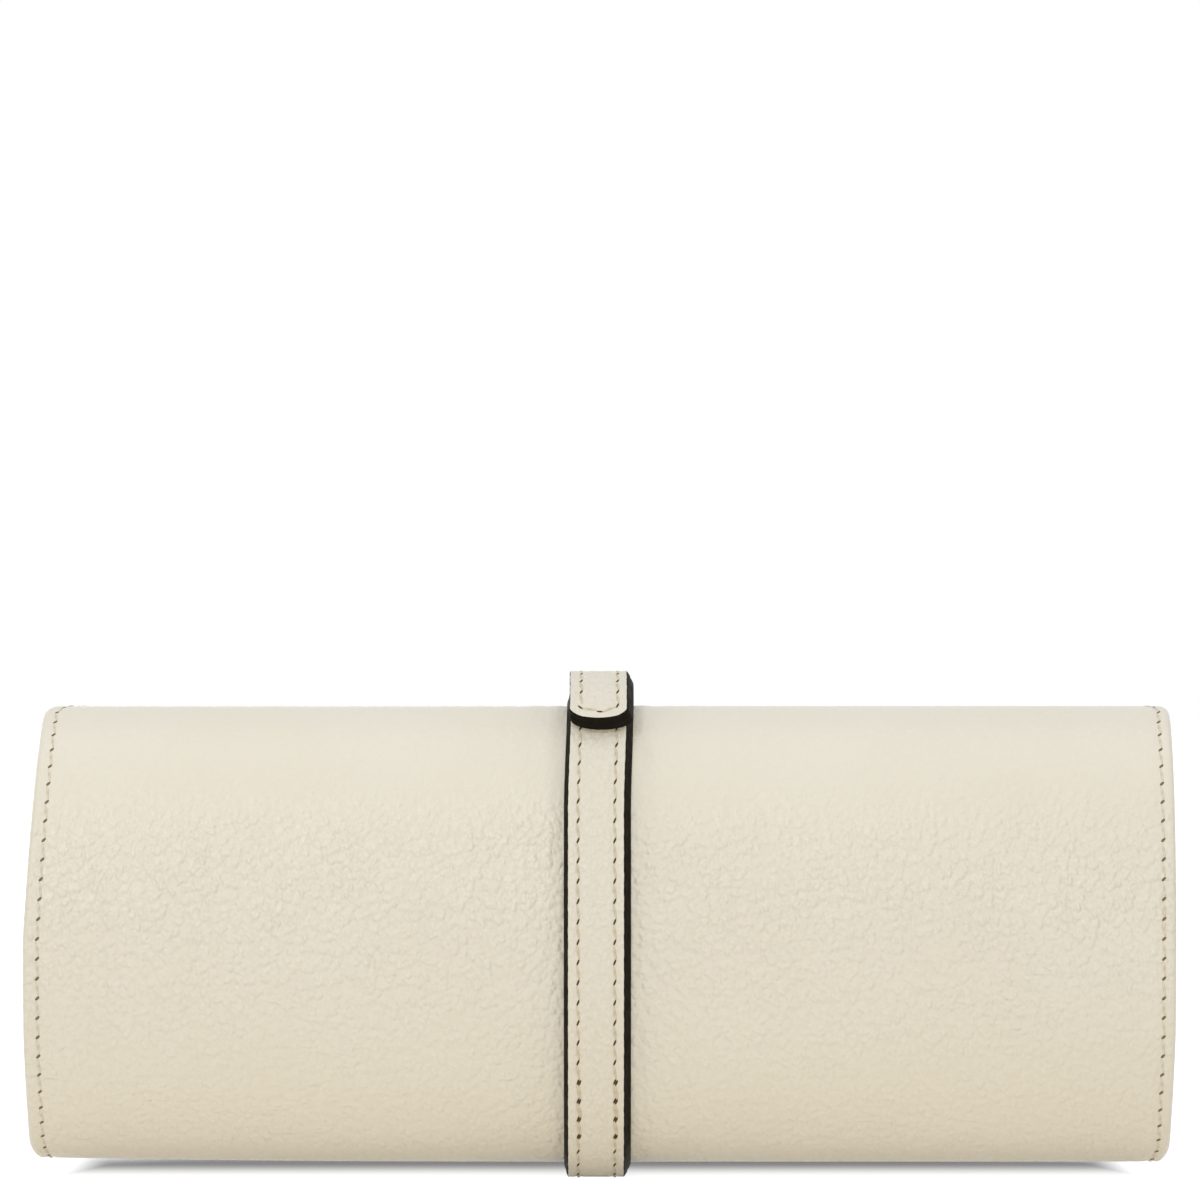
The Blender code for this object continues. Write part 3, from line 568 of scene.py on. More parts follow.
@dataclass(frozen=True)
class Slab:
    """A sheet of leather or cloth with rounded edges, laid on a ground.

    The upper face is a grid of rows and columns over the cut. Rings go round its rim and down
    to the lower face: at a share v of the way, a point has moved out by spread * v plus
    bulge * sqrt(1 - (2v - 1)^2), and down by v times the thickness.
    """

    cut: Cut
    upper: float
    lower: float
    edge: Edge
    pitch: float = 1.0 * MM
    columns: int = 100
    lift: Relief = level
    deepen: Relief = level
    crowding: float = 0.06
    waves: tuple[float, float] = (0.83 * MM, 0.37 * MM)

    def shares(self) -> Array:
        """Columns as shares of the width, closer together towards both sides."""
        t = np.linspace(0, 1, self.columns + 1)
        return t - self.crowding * np.sin(2 * math.pi * t)

    def rim(self, x: Array, s: Array) -> tuple[Array, Array]:
        """Outward unit normal of a closed flat loop, from its neighbours' positions.

        Args:
            x: places along the case.
            s: lengths along the profile.

        Returns:
            Its two values along x and s.
        """
        dx, ds = np.roll(x, -1) - np.roll(x, 1), np.roll(s, -1) - np.roll(s, 1)
        size = np.maximum(np.hypot(dx, ds), 1e-12)
        turn = np.sign(np.sum(x * np.roll(s, -1) - np.roll(x, -1) * s))
        return turn * ds / size, -turn * dx / size

    def shell(self, ground: Ground, rim_slot: int = 0, upper_slot: int = 0) -> Shell:
        """Builds the closed sheet.

        Args:
            ground: the surface that it lies on.
            rim_slot: material slot of the edge.
            upper_slot: material slot of the upper face.

        Returns:
            Its points, flat map and faces.
        """
        inner = self.upper_cut()
        s = inner.rows(self.pitch)
        left, right = inner.edges(s)
        left, right = left + self.waver(s, 0.0), right + self.waver(s, 2.0)
        share = self.shares()
        x = left[:, None] + share * (right - left)[:, None]
        s = np.broadcast_to(s[:, None], x.shape)
        rows, columns = x.shape
        number = np.arange(rows * columns).reshape(rows, columns)
        sides = number[0, :-1], number[:-1, -1], number[-1, :0:-1], number[:0:-1, 0]
        loop = np.concatenate(sides)
        lx, ls = x.ravel()[loop], s.ravel()[loop]
        nx, ns = self.squared(loop, rows, columns, *self.rim(lx, ls))
        side = np.where(nx > 0, self.edge.right, self.edge.left)
        spread = np.abs(nx) * side + np.abs(ns) * (1 - np.abs(nx)) * self.edge.tip
        low_x, low_s = self.lowered(x, s, loop, nx * spread, ns * spread)
        top = self.upper + self.lift(x, s)
        bottom = self.lower + self.lift(low_x, low_s) + self.deepen(low_x, low_s)
        high, deep = top.ravel()[loop], bottom.ravel()[loop]
        v = (1 - np.cos(np.linspace(0, math.pi, self.edge.steps + 1)[1:-1])) / 2
        out = spread * v[:, None] + self.edge.bulge * np.sqrt(1 - (2 * v[:, None] - 1) ** 2)
        ring_x, ring_s = lx + nx * out, ls + ns * out
        ring_h = high + (deep - high) * v[:, None]
        flat_x = np.concatenate((x.ravel(), low_x.ravel(), ring_x.ravel()))
        flat_s = np.concatenate((s.ravel(), low_s.ravel(), ring_s.ravel()))
        heights = np.concatenate((top.ravel(), bottom.ravel(), ring_h.ravel()))
        rings = self.ring_numbers(loop, x.size, len(v))
        bands = self.bands(rings)
        faces = [grid_faces(rows, columns), grid_faces(rows, columns, x.size, flip=True), bands]
        slots = [np.full(len(faces[0]), upper_slot), np.zeros(len(faces[1])),
                 np.full(len(bands), rim_slot)]
        flat = np.stack((flat_x, flat_s), axis=1)
        down = np.concatenate(([0.0], v, [1.0]))[:, None] * (high - deep)
        unrolled = np.stack((lx + nx * down, ls + ns * down), axis=-1)
        flats = [flat[faces[0]], flat[faces[1]], self.bands(unrolled)]
        return Shell(ground.place(flat_x, flat_s, heights), faces, flats, slots)

    def upper_cut(self) -> Cut:
        """The upper face's own cut, inside the rounding and the spread of the edge.

        Returns:
            The cut.
        """
        edge, cut = self.edge, self.cut
        step = edge.bulge + edge.tip
        start = cut.start if edge.first_seam else cut.start + step
        end = cut.end if edge.last_seam else cut.end - step
        inner = cut.shrunk(step)
        return Cut(start, end, cut.left + edge.bulge + edge.left,
                   cut.right - edge.bulge - edge.right, inner.first, inner.last)

    def waver(self, s: Array, phase: float) -> Array:
        """How an edge painted by hand strays: ragged times two sines of unlike length."""
        waves = np.sin(s / self.waves[0] + phase) + np.sin(s / self.waves[1] + 2 * phase + 1.0)
        return self.edge.ragged / 2 * waves

    def squared(self, loop: Array, rows: int, columns: int, nx: Array,
                ns: Array) -> tuple[Array, Array]:
        """Rim normals with none along the case at a seam, so that the next piece meets it.

        Args:
            loop: point numbers of the rim, all the way round.
            rows: number of rows of the grid.
            columns: number of columns.
            nx: the normals along x.
            ns: the normals along s.

        Returns:
            The normals along x and along s.
        """
        row, column = loop // columns, loop % columns
        sideways = np.where(column == 0, -1.0, np.where(column == columns - 1, 1.0, 0.0))
        for seam, place in ((self.edge.first_seam, 0), (self.edge.last_seam, rows - 1)):
            here = (row == place) & seam
            nx, ns = np.where(here, sideways, nx), np.where(here, 0.0, ns)
        return nx, ns

    def lowered(self, x: Array, s: Array, loop: Array, dx: Array,
                ds: Array) -> tuple[Array, Array]:
        """The lower face's grid: the rim moved out, and the rows between its two sides.

        Args:
            x: places along the case.
            s: lengths along the profile.
            loop: point numbers of the rim, all the way round.
            dx: how far the rim moves along x.
            ds: how far it moves along s.

        Returns:
            The lower grid's x and s.
        """
        low_x, low_s = x.copy(), s.copy()
        move_x, move_s = np.zeros(x.size), np.zeros(x.size)
        move_x[loop], move_s[loop] = dx, ds
        move_x, move_s = move_x.reshape(x.shape), move_s.reshape(x.shape)
        share = self.shares()
        for move in (move_x, move_s):
            inner = (1 - share) * move[1:-1, :1] + share * move[1:-1, -1:]
            move[1:-1, 1:-1] = inner[:, 1:-1]
        return low_x + move_x, low_s + move_s

    @staticmethod
    def ring_numbers(loop: Array, size: int, between: int) -> Array:
        """Point numbers of all the rings, from the upper rim to the lower one."""
        middle = 2 * size + np.arange(between * len(loop)).reshape(between, -1)
        return np.concatenate((loop[None], middle, loop[None] + size))

    @staticmethod
    def bands(rings: Array) -> Array:
        """Corners of the quads between each ring and the next, all the way round.

        Args:
            rings: point numbers or flat places, one row for each ring.

        Returns:
            Four numbers or places for each quad.
        """
        a, b = rings[:-1], rings[1:]
        quads = np.stack((a, b, np.roll(b, -1, axis=1), np.roll(a, -1, axis=1)), axis=2)
        return quads.reshape(-1, 4, *rings.shape[2:])


@dataclass(frozen=True)
class StitchLine:
    """One row of lockstitch along a flat path, its threads and the holes that they leave.

    Each thread is a short capsule that arches from hole to hole, laid on the ground point by
    point, so it follows every bend. Each hole is a thin dark lens of painted shade, slanted as the
    needle cut it.
    """

    pitch: float = 4.3 * MM
    thread: float = 0.52 * MM
    bed: float = 0.05 * MM
    reach_share: float = 0.40
    slope_share: float = 0.3
    slant: float = math.radians(9)
    flatness: float = 0.8
    arch: float = 0.32
    sink: float = 0.22
    end_sink: float = 0.3
    hole_length: float = 1.5 * MM
    hole_width: float = 0.46 * MM
    hole_slant: float = math.radians(-45)
    hole_rings: tuple[float, ...] = (0.35, 0.8, 1.0, 0.8, 0.35)
    hole_heights: tuple[float, ...] = (0.09, 0.075, 0.0, -0.075, -0.09)
    hole_half: float = 0.095 * MM
    hole_lift: float = 0.02 * MM

    def spots(self, path: Array) -> tuple[Array, Array]:
        """Middles and unit directions of the stitches, evenly spaced along a flat path.

        Args:
            path: flat points, one row each.

        Returns:
            The middles and the directions, one row each.
        """
        steps = np.hypot(*np.diff(path, axis=0).T)
        run = np.concatenate(([0.0], np.cumsum(steps)))
        count = max(int(run[-1] / self.pitch), 1)
        at = (np.arange(count) + 0.5) * run[-1] / count
        middle = np.stack([np.interp(at, run, path[:, k]) for k in (0, 1)], axis=1)
        reach = self.slope_share * self.pitch
        ahead = np.stack([np.interp(at + reach, run, path[:, k]) for k in (0, 1)], axis=1)
        behind = np.stack([np.interp(at - reach, run, path[:, k]) for k in (0, 1)], axis=1)
        along = ahead - behind
        return middle, along / np.linalg.norm(along, axis=1)[:, None]

    def threads(self, ground: Ground, path: Array, offset: float) -> Shell:
        """Threads of the row: capsules of six sides, 0.4 of a pitch each way from the middle.

        Args:
            ground: the surface that it lies on.
            path: flat points, one row each.
            offset: height over the ground.

        Returns:
            The row's shell.
        """
        middle, along = self.spots(path)
        sides = 6
        t = np.cos(np.linspace(math.pi, 0, 9))[1:-1]
        angles = np.arange(sides) * math.tau / sides
        width = np.sqrt(1 - t ** 4)[:, None] * self.thread / 2
        reach = self.reach_share * self.pitch
        ends = np.array((-reach, reach))
        u = np.concatenate((np.repeat(t * reach, sides), ends))
        v = np.tan(self.slant) * u
        v[:-2] += (width * np.cos(angles)).ravel()
        high = ((1 - t ** 2) * self.arch - self.sink)[:, None] * self.thread
        w = (width * np.sin(angles) * self.flatness + high).ravel()
        w = np.concatenate((w, np.full(2, -self.end_sink * self.thread))) + self.bed
        faces = [face[:, ::-1] for face in capped(len(t), sides)]
        return self.repeated(ground, middle, along, (u, v, w + offset), faces)

    def hole_shadows(self, ground: Ground, path: Array, offset: float) -> Shell:
        """Painted shade of the needle holes between the threads: dark flat lenses of eight sides, half sunk.

        Args:
            ground: the surface that it lies on.
            path: flat points, one row each.
            offset: height over the ground.

        Returns:
            The row's shell.
        """
        middle, along = self.spots(path)
        middle = np.concatenate((middle - along * self.pitch / 2,
                                 middle[-1:] + along[-1:] * self.pitch / 2))
        along = np.concatenate((along, along[-1:]))
        sides = 8
        angles = np.arange(sides) * math.tau / sides
        ring = np.array(self.hole_rings)[:, None]
        a = (ring * np.cos(angles)).ravel() * self.hole_length / 2
        b = (ring * np.sin(angles)).ravel() * self.hole_width / 2
        cos, sin = math.cos(self.hole_slant), math.sin(self.hole_slant)
        height = np.repeat(np.array(self.hole_heights) * MM, sides)
        u = np.concatenate((a * cos - b * sin, (0.0, 0.0)))
        v = np.concatenate((a * sin + b * cos, (0.0, 0.0)))
        w = np.concatenate((height, (self.hole_half, -self.hole_half))) + self.hole_lift
        faces = capped(len(ring), sides)
        return self.repeated(ground, middle, along, (u, v, w + offset), faces)

    @staticmethod
    def repeated(ground: Ground, middle: Array, along: Array, shape: tuple[Array, Array, Array],
                 faces: list[Array]) -> Shell:
        """Sets one small shape at every spot: middle + u * along + v * across, at height w.

        Args:
            ground: the surface that it lies on.
            middle: flat middles of the spots.
            along: their unit directions.
            shape: u, v and w of the small shape's points.
            faces: its faces, by point number.

        Returns:
            All of them as one shell.
        """
        u, v, w = shape
        v = v * ground.facing
        x = middle[:, :1] + along[:, :1] * u - along[:, 1:] * v
        s = middle[:, 1:] + along[:, 1:] * u + along[:, :1] * v
        height = np.broadcast_to(w, x.shape)
        points = ground.place(x.ravel(), s.ravel(), height.ravel())
        flat = np.stack((np.broadcast_to(u, x.shape).ravel(), np.broadcast_to(v, x.shape).ravel()),
                        axis=1)
        shift = np.arange(len(middle))[:, None, None] * len(u)
        many = [(f[None] + shift).reshape(-1, f.shape[1]) for f in faces]
        return Shell.mapped(points, flat, many)


def capped(count: int, sides: int) -> list[Array]:
    """Faces of a run of rings that a fan round one more point closes at each end.

    Args:
        count: number of rings.
        sides: points of each ring.

    Returns:
        The quads between the rings, the first fan and the last one.
    """
    rings = np.arange(count * sides).reshape(count, sides)
    first, last = rings[0], rings[-1]
    return [Slab.bands(rings),
            np.stack((np.full(sides, rings.size), first, np.roll(first, -1)), axis=1),
            np.stack((np.full(sides, rings.size + 1), np.roll(last, -1), last), axis=1)]


def runs_of(path: Array, kept: Array, shortest: int = 30) -> list[Array]:
    """Unbroken runs of a path's kept points.

    Args:
        path: flat points, one row each.
        kept: which points are kept.
        shortest: runs of so few points are left out.

    Returns:
        The runs.
    """
    runs = np.split(np.arange(len(path)), np.flatnonzero(np.diff(kept.astype(int))) + 1)
    return [path[run] for run in runs if kept[run[0]] and len(run) > shortest]


def joined(shells: Sequence[Shell]) -> Shell:
    """Puts several shells in one, with their point numbers moved on.

    Args:
        shells: the shells, in order.

    Returns:
        One shell with all their faces.
    """
    firsts = np.cumsum([0] + [len(s.points) for s in shells[:-1]])
    faces = [f + first for s, first in zip(shells, firsts) for f in s.faces]
    flats = [f for s in shells for f in s.flats]
    slots = [m for s in shells for m in s.slots]
    return Shell(np.concatenate([s.points for s in shells]), faces, flats, slots)


def rounded_path(cut: Cut, inset: float, count: int = 4000) -> Array:
    """The closed line at an inset inside a cut, as dense flat points.

    Formula: down the right edge, back up the left one and across both ends, from the cut's own
    edge function, which leaves quarter circles at its corners.

    Args:
        cut: the flat shape.
        inset: distance in from the cut's edge.
        count: number of rows of points.

    Returns:
        Flat points, one row each.
    """
    inner = cut.shrunk(inset)
    s = np.sort(np.concatenate((np.linspace(inner.start, inner.end, count), inner.rows(1 * MM))))
    left, right = inner.edges(s)
    loop_x = np.concatenate((right, left[::-1], right[:1]))
    loop_s = np.concatenate((s, s[::-1], s[:1]))
    return np.stack((loop_x, loop_s), axis=1)


# Finishes

Tree = bpy.types.NodeTree
Socket = bpy.types.NodeSocket
Colour = tuple[float, float, float, float]

WHITE = (1.0, 1.0, 1.0, 1.0)

# Settings that many nodes share, and a Mix node's inputs that two colours pass over.
SMOOTH = {"interpolation_type": "SMOOTHSTEP"}
COLOURS = {"data_type": "RGBA", "output": 2}
PASSED = (None,) * 5
ADD = {"operation": "ADD"}
SUBTRACT = {"operation": "SUBTRACT"}
MULTIPLY = {"operation": "MULTIPLY"}
MAXIMUM = {"operation": "MAXIMUM"}
ABSOLUTE = {"operation": "ABSOLUTE"}

# Nearly all values of a noise lie in this range.
NOISE = (0.3, 0.7)


def linear(hex_colour: str) -> Colour:
    """Linear colour of an sRGB hex one, by the sRGB curve, with full opacity.

    Args:
        hex_colour: the colour as "#rrggbb".

    Returns:
        Red, green, blue and opacity.
    """
    values = np.array([int(hex_colour[i:i + 2], 16) for i in (1, 3, 5)]) / 255
    curve = np.where(values <= 0.04045, values / 12.92, ((values + 0.055) / 1.055) ** 2.4)
    return (*curve.tolist(), 1.0)


def node(tree: Tree, kind: str, *values: object, output: int | str = 0,
         **settings: object) -> Socket:
    """Adds a node with its settings and links.

    Args:
        tree: the tree that it goes in.
        kind: the node's type name, without its first part.
        values: value or output socket for each of the first inputs, or None to pass one over.
        output: the output that is wanted, by name or number.
        settings: further inputs, whose names begin with a capital, and the node's properties.

    Returns:
        The wanted output.
    """
    made = tree.nodes.new(f"ShaderNode{kind}")
    inputs: dict[int | str, object] = dict(enumerate(values))
    for name, value in settings.items():
        if name[0].isupper():
            inputs[name] = value
        else:
            setattr(made, name, value)
    for name, value in inputs.items():
        if isinstance(value, Socket):
            tree.links.new(value, made.inputs[name])
        elif value is not None:
            made.inputs[name].default_value = value
    return made.outputs[output]


@dataclass(frozen=True)
class Pattern:
    """What a surface's pattern changes: its colour between two, its roughness and its relief."""

    factor: Socket | None = None
    colours: tuple[Colour, Colour] = (WHITE, WHITE)
    roughness: Socket | None = None
    height: Socket | None = None
    depth: float = 0.0

    def link(self, tree: Tree, shader: bpy.types.Node) -> None:
        """Links what the pattern has to the shader.

        Args:
            tree: the material's nodes.
            shader: its surface shader.
        """
        if self.factor is not None:
            mix = node(tree, "Mix", self.factor, *PASSED, *self.colours, **COLOURS)
            tree.links.new(mix, shader.inputs["Base Color"])
        if self.roughness is not None:
            tree.links.new(self.roughness, shader.inputs["Roughness"])
        if self.height is not None:
            bump = node(tree, "Bump", Height=self.height, Distance=self.depth)
            tree.links.new(bump, shader.inputs["Normal"])


@dataclass(frozen=True)
class Finish:
    """What a surface is made of: constants on the shader, and a pattern that dress() adds."""

    name: str
    colour: str
    roughness: float
    metallic: float = 0.0
    ior: float = 1.5
    sheen: float = 0.0
    specular: float = 0.5

    def material(self) -> bpy.types.Material:
        """The Blender material, made once.

        Returns:
            The material with its constants and its pattern.
        """
        known = bpy.data.materials.get(self.name)
        if known:
            return known
        material = bpy.data.materials.new(self.name)
        material.use_nodes = True
        material.diffuse_color = linear(self.colour)
        shader = material.node_tree.nodes["Principled BSDF"]
        for name, value in (("Base Color", linear(self.colour)), ("Roughness", self.roughness),
                            ("Metallic", self.metallic), ("IOR", self.ior),
                            ("Sheen Weight", self.sheen), ("Specular IOR Level", self.specular)):
            shader.inputs[name].default_value = value
        self.dress(material.node_tree).link(material.node_tree, shader)
        return material

    def dress(self, tree: Tree) -> Pattern:
        """The surface's own pattern. A plain finish has none."""
        return Pattern()

    def darker(self, share: float) -> Colour:
        """The colour with its light cut to a share."""
        return (*(share * value for value in linear(self.colour)[:3]), 1.0)


@dataclass(frozen=True)
class PebbledCalf(Finish):
    """Drum-milled full-grain calf, pigment finished and polished.

    Milling leaves soft pebbles with fine creases between them, which show as gloss on the pebbles'
    shoulders more than as colour, with a little painted shade darkening the creases. The hide has
    faint clouds and long thin wrinkles.
    """

    # Painted shade colour of the creases; the random clouds take the same colour.
    crease_shade_and_cloud_colour: str = "#d6caad"
    pebble_width: float = 1.9 * MM
    pebble_height: float = 2.3 * MM
    pebble_warp: float = 6 * MM
    pebble_sway: float = 2.2 * MM
    pebble_blend: float = 0.35
    pebble_dome: tuple[float, float] = (0.05, 0.75)
    fine_size: float = 0.55
    fine_share: float = 0.5
    pore: float = 0.35 * MM
    pore_share: float = 0.12
    patch: float = 16 * MM
    patch_low: float = 0.8
    cloud: float = 35 * MM
    cloud_share: float = 0.08
    gloss_spread: float = 0.06
    depth: float = 0.28 * MM
    crease_shade_share: float = 0.07
    wrinkle_size: float = 7 * MM
    wrinkle_turn: float = math.radians(-18)
    wrinkle_stretch: float = 0.42
    wrinkle_width: float = 0.035
    wrinkle_patch: float = 24 * MM
    wrinkle_patches: tuple[float, float] = (0.46, 0.60)
    wrinkle_fade: float = 30 * MM
    wrinkle_depth_share: float = 0.22
    calm_from: float = 1.0
    calm_to: float = 2.0
    calm_share: float = 0.22
    base_at: float = -1.0
    base_from: float = 25 * MM
    base_to: float = 75 * MM
    base_share: float = 0.65

    def dress(self, tree: Tree) -> Pattern:
        """Pebbles from cell edges, wrinkles from a noise's contour lines, clouds from noise, and painted
        shade in the creases.

        Args:
            tree: the material's nodes.

        Returns:
            The pattern.
        """
        flat = node(tree, "UVMap", uv_map=FLAT_MAP)
        along = node(tree, "SeparateXYZ", flat, output=1)
        pores, clouds, patches = (
            node(tree, "TexNoise", Vector=flat, Scale=1 / size, Detail=detail)
            for size, detail in ((self.pore, 3.0), (self.cloud, 3.0), (self.patch, 2.0)))
        amount = self.amount(tree, along, patches)
        large, small = (self.pebbles(tree, flat, size) for size in (1.0, self.fine_size))
        grain = node(tree, "Math", large, node(tree, "Math", small, self.fine_share, **MULTIPLY),
                     **ADD)
        grain = node(tree, "Math", grain, amount, **MULTIPLY)
        # Painted shade: the creases between the pebbles are darkened towards the shade colour.
        crease = node(tree, "Math", node(tree, "Math", 1.0, large, **SUBTRACT), amount, **MULTIPLY)
        crease = node(tree, "Math", crease, self.crease_shade_share, **MULTIPLY)
        clouds = node(tree, "MapRange", clouds, *NOISE, 0.0, self.cloud_share, **SMOOTH)
        gloss = node(tree, "MapRange", pores, *NOISE, self.roughness - self.gloss_spread,
                     self.roughness + self.gloss_spread, **SMOOTH)
        fold = node(tree, "Math", self.wrinkles(tree, flat, along), self.wrinkle_depth_share,
                    **MULTIPLY)
        height = node(tree, "Math", grain, fold, **ADD)
        pores = node(tree, "Math", pores, self.pore_share, **MULTIPLY)
        height = node(tree, "Math", height, pores, **ADD)
        gloss = node(tree, "Math", gloss, crease, **ADD)
        colours = linear(self.colour), linear(self.crease_shade_and_cloud_colour)
        return Pattern(node(tree, "Math", crease, clouds, **ADD), colours, gloss, height,
                       self.depth)

    def amount(self, tree: Tree, along: Socket, patches: Socket) -> Socket:
        """How strong the grain is: calm over the top and round the base, and in soft patches.

        Args:
            tree: the material's nodes.
            along: length along the wrap.
            patches: a wide noise.

        Returns:
            The share, 0 to 1.
        """
        calm = node(tree, "MapRange", along, self.calm_from, self.calm_to, 1.0, self.calm_share,
                    **SMOOTH)
        patches = node(tree, "MapRange", patches, *NOISE, self.patch_low, 1.0, **SMOOTH)
        away = node(tree, "Math", node(tree, "Math", along, self.base_at, **SUBTRACT), **ABSOLUTE)
        base = node(tree, "MapRange", away, self.base_from, self.base_to, self.base_share, 1.0,
                    **SMOOTH)
        return node(tree, "Math", node(tree, "Math", calm, patches, **MULTIPLY), base, **MULTIPLY)

    def pebbles(self, tree: Tree, flat: Socket, share: float) -> Socket:
        """Domed cells: one less the smoothed distance to a cell's middle, in warped places.

        Args:
            tree: the material's nodes.
            flat: the piece's flat map, in metres.
            share: size of the pebbles, 1 for the plain one.

        Returns:
            1 on the domes and 0 in the creases.
        """
        warp = node(tree, "TexNoise", output="Color", Vector=flat,
                    Scale=1 / (self.pebble_warp * share))
        reach = self.pebble_sway * share
        warp = node(tree, "VectorMath", warp, (0.5, 0.5, 0.5), **SUBTRACT)
        warp = node(tree, "VectorMath", warp, (reach, reach, 0.0), **MULTIPLY)
        cell = (1 / (self.pebble_width * share), 1 / (self.pebble_height * share), 0.0)
        at = node(tree, "VectorMath", node(tree, "VectorMath", flat, warp, **ADD), cell,
                  **MULTIPLY)
        away = node(tree, "TexVoronoi", output="Distance", voronoi_dimensions="2D", Vector=at,
                    Scale=1.0, Smoothness=self.pebble_blend, feature="SMOOTH_F1")
        return node(tree, "MapRange", away, *self.pebble_dome, 1.0, 0.0, **SMOOTH)

    def wrinkles(self, tree: Tree, flat: Socket, along: Socket) -> Socket:
        """Long thin furrows where a slanted, stretched noise passes its middle, in patches.

        Args:
            tree: the material's nodes.
            flat: the piece's flat map, in metres.
            along: length along the wrap, its second value.

        Returns:
            1 in a furrow and 0 elsewhere.
        """
        turned = node(tree, "Mapping", vector_type="POINT", Vector=flat,
                      Rotation=(0.0, 0.0, self.wrinkle_turn),
                      Scale=(self.wrinkle_stretch, 1.0, 1.0))
        contour = node(tree, "TexNoise", Vector=turned, Scale=1 / self.wrinkle_size, Detail=3.0)
        away = node(tree, "Math", node(tree, "Math", contour, 0.5, **SUBTRACT), **ABSOLUTE)
        line = node(tree, "MapRange", away, 0.0, self.wrinkle_width, 1.0, 0.0, **SMOOTH)
        wide = node(tree, "TexNoise", Vector=flat, Scale=1 / self.wrinkle_patch, Detail=1.0)
        patch = node(tree, "MapRange", wide, *self.wrinkle_patches, **SMOOTH)
        low = node(tree, "MapRange", along, self.calm_from - self.wrinkle_fade, self.calm_from,
                   1.0, 0.0, **SMOOTH)
        return node(tree, "Math", node(tree, "Math", line, patch, **MULTIPLY), low, **MULTIPLY)


@dataclass(frozen=True)
class Painted(Finish):
    """Acrylic edge paint: a thick satin film with faint brush ridges along the edge."""

    ridge: float = 0.5 * MM
    spot: float = 3 * MM
    duller: tuple[float, float] = (-0.08, 0.1)
    depth: float = 0.05 * MM

    def dress(self, tree: Tree) -> Pattern:
        """Ridges and dull spots from noise.

        Args:
            tree: the material's nodes.

        Returns:
            The pattern.
        """
        at = node(tree, "TexCoord", output="Object")
        ridge = node(tree, "TexNoise", Vector=at, Scale=1 / self.ridge, Detail=3.0)
        spots = node(tree, "TexNoise", Vector=at, Scale=1 / self.spot)
        low, high = (self.roughness + change for change in self.duller)
        gloss = node(tree, "MapRange", spots, *NOISE, low, high, **SMOOTH)
        return Pattern(roughness=gloss, height=ridge, depth=self.depth)


@dataclass(frozen=True)
class PaintedHoleShade(Finish):
    """Painted shade in a needle's hole: a dark colour for its shadow, with torn fibres mottled darker."""

    fibre: float = 0.2 * MM
    fibre_colour: str = "#2c2216"
    fibre_share: float = 0.4

    def dress(self, tree: Tree) -> Pattern:
        """Fine noise between the colour and a darker one.

        Args:
            tree: the material's nodes.

        Returns:
            The pattern.
        """
        at = node(tree, "TexCoord", output="Object")
        fibres = node(tree, "TexNoise", Vector=at, Scale=1 / self.fibre)
        fibres = node(tree, "MapRange", fibres, *NOISE, 0.0, self.fibre_share, **SMOOTH)
        return Pattern(fibres, (linear(self.colour), linear(self.fibre_colour)))


@dataclass(frozen=True)
class Twisted(Finish):
    """Bonded polyester thread in three plies, twisted, with a slight sheen."""

    wave: float = 3.2 * MM
    furrow_shade_share: float = 0.84
    depth: float = 0.06 * MM

    def dress(self, tree: Tree) -> Pattern:
        """Ply ridges as slanted waves, 2 mm apart: coarser than real, so that they show, with painted shade
        darkening the furrows between them.

        Args:
            tree: the material's nodes.

        Returns:
            The pattern.
        """
        flat = node(tree, "UVMap", uv_map=FLAT_MAP)
        wave = node(tree, "TexWave", output=1, bands_direction="DIAGONAL", Vector=flat,
                    Scale=1 / self.wave, Distortion=1.0)
        # Painted shade: the furrows between the plies are darker.
        colours = self.darker(self.furrow_shade_share), linear(self.colour)
        return Pattern(wave, colours, height=wave, depth=self.depth)


@dataclass(frozen=True)
class Suede(Finish):
    """Microfibre suede: a short brushed nap with lighter and darker strokes and no gloss."""

    stroke_colour: str = "#b9a98c"
    stroke: float = 9 * MM
    stroke_stretch: float = 0.35
    stroke_share: float = 0.55
    nap: float = 0.35 * MM
    depth: float = 0.10 * MM

    def dress(self, tree: Tree) -> Pattern:
        """Nap from fine noise, brushed strokes from a stretched one.

        Args:
            tree: the material's nodes.

        Returns:
            The pattern.
        """
        at = node(tree, "TexCoord", output="Object")
        long = node(tree, "VectorMath", at, (self.stroke_stretch, 1.0, 1.0), **MULTIPLY)
        strokes = node(tree, "TexNoise", Vector=long, Scale=1 / self.stroke, Detail=4.0)
        strokes = node(tree, "MapRange", strokes, 0.35, 0.65, 0.0, self.stroke_share, **SMOOTH)
        nap = node(tree, "TexNoise", Vector=at, Scale=1 / self.nap, Detail=3.0)
        colours = linear(self.colour), linear(self.stroke_colour)
        return Pattern(strokes, colours, height=nap, depth=self.depth)


@dataclass(frozen=True)
class Foam(Finish):
    """Cut polyether foam: open cells of half a millimetre."""

    cell: float = 0.5 * MM
    wall_share: float = 0.75
    depth: float = 0.12 * MM

    def dress(self, tree: Tree) -> Pattern:
        """Cells from a Voronoi pattern.

        Args:
            tree: the material's nodes.

        Returns:
            The pattern.
        """
        at = node(tree, "TexCoord", output="Object")
        cell = node(tree, "TexVoronoi", Vector=at, Scale=1 / self.cell)
        colours = linear(self.colour), self.darker(self.wall_share)
        return Pattern(cell, colours, height=cell, depth=self.depth)


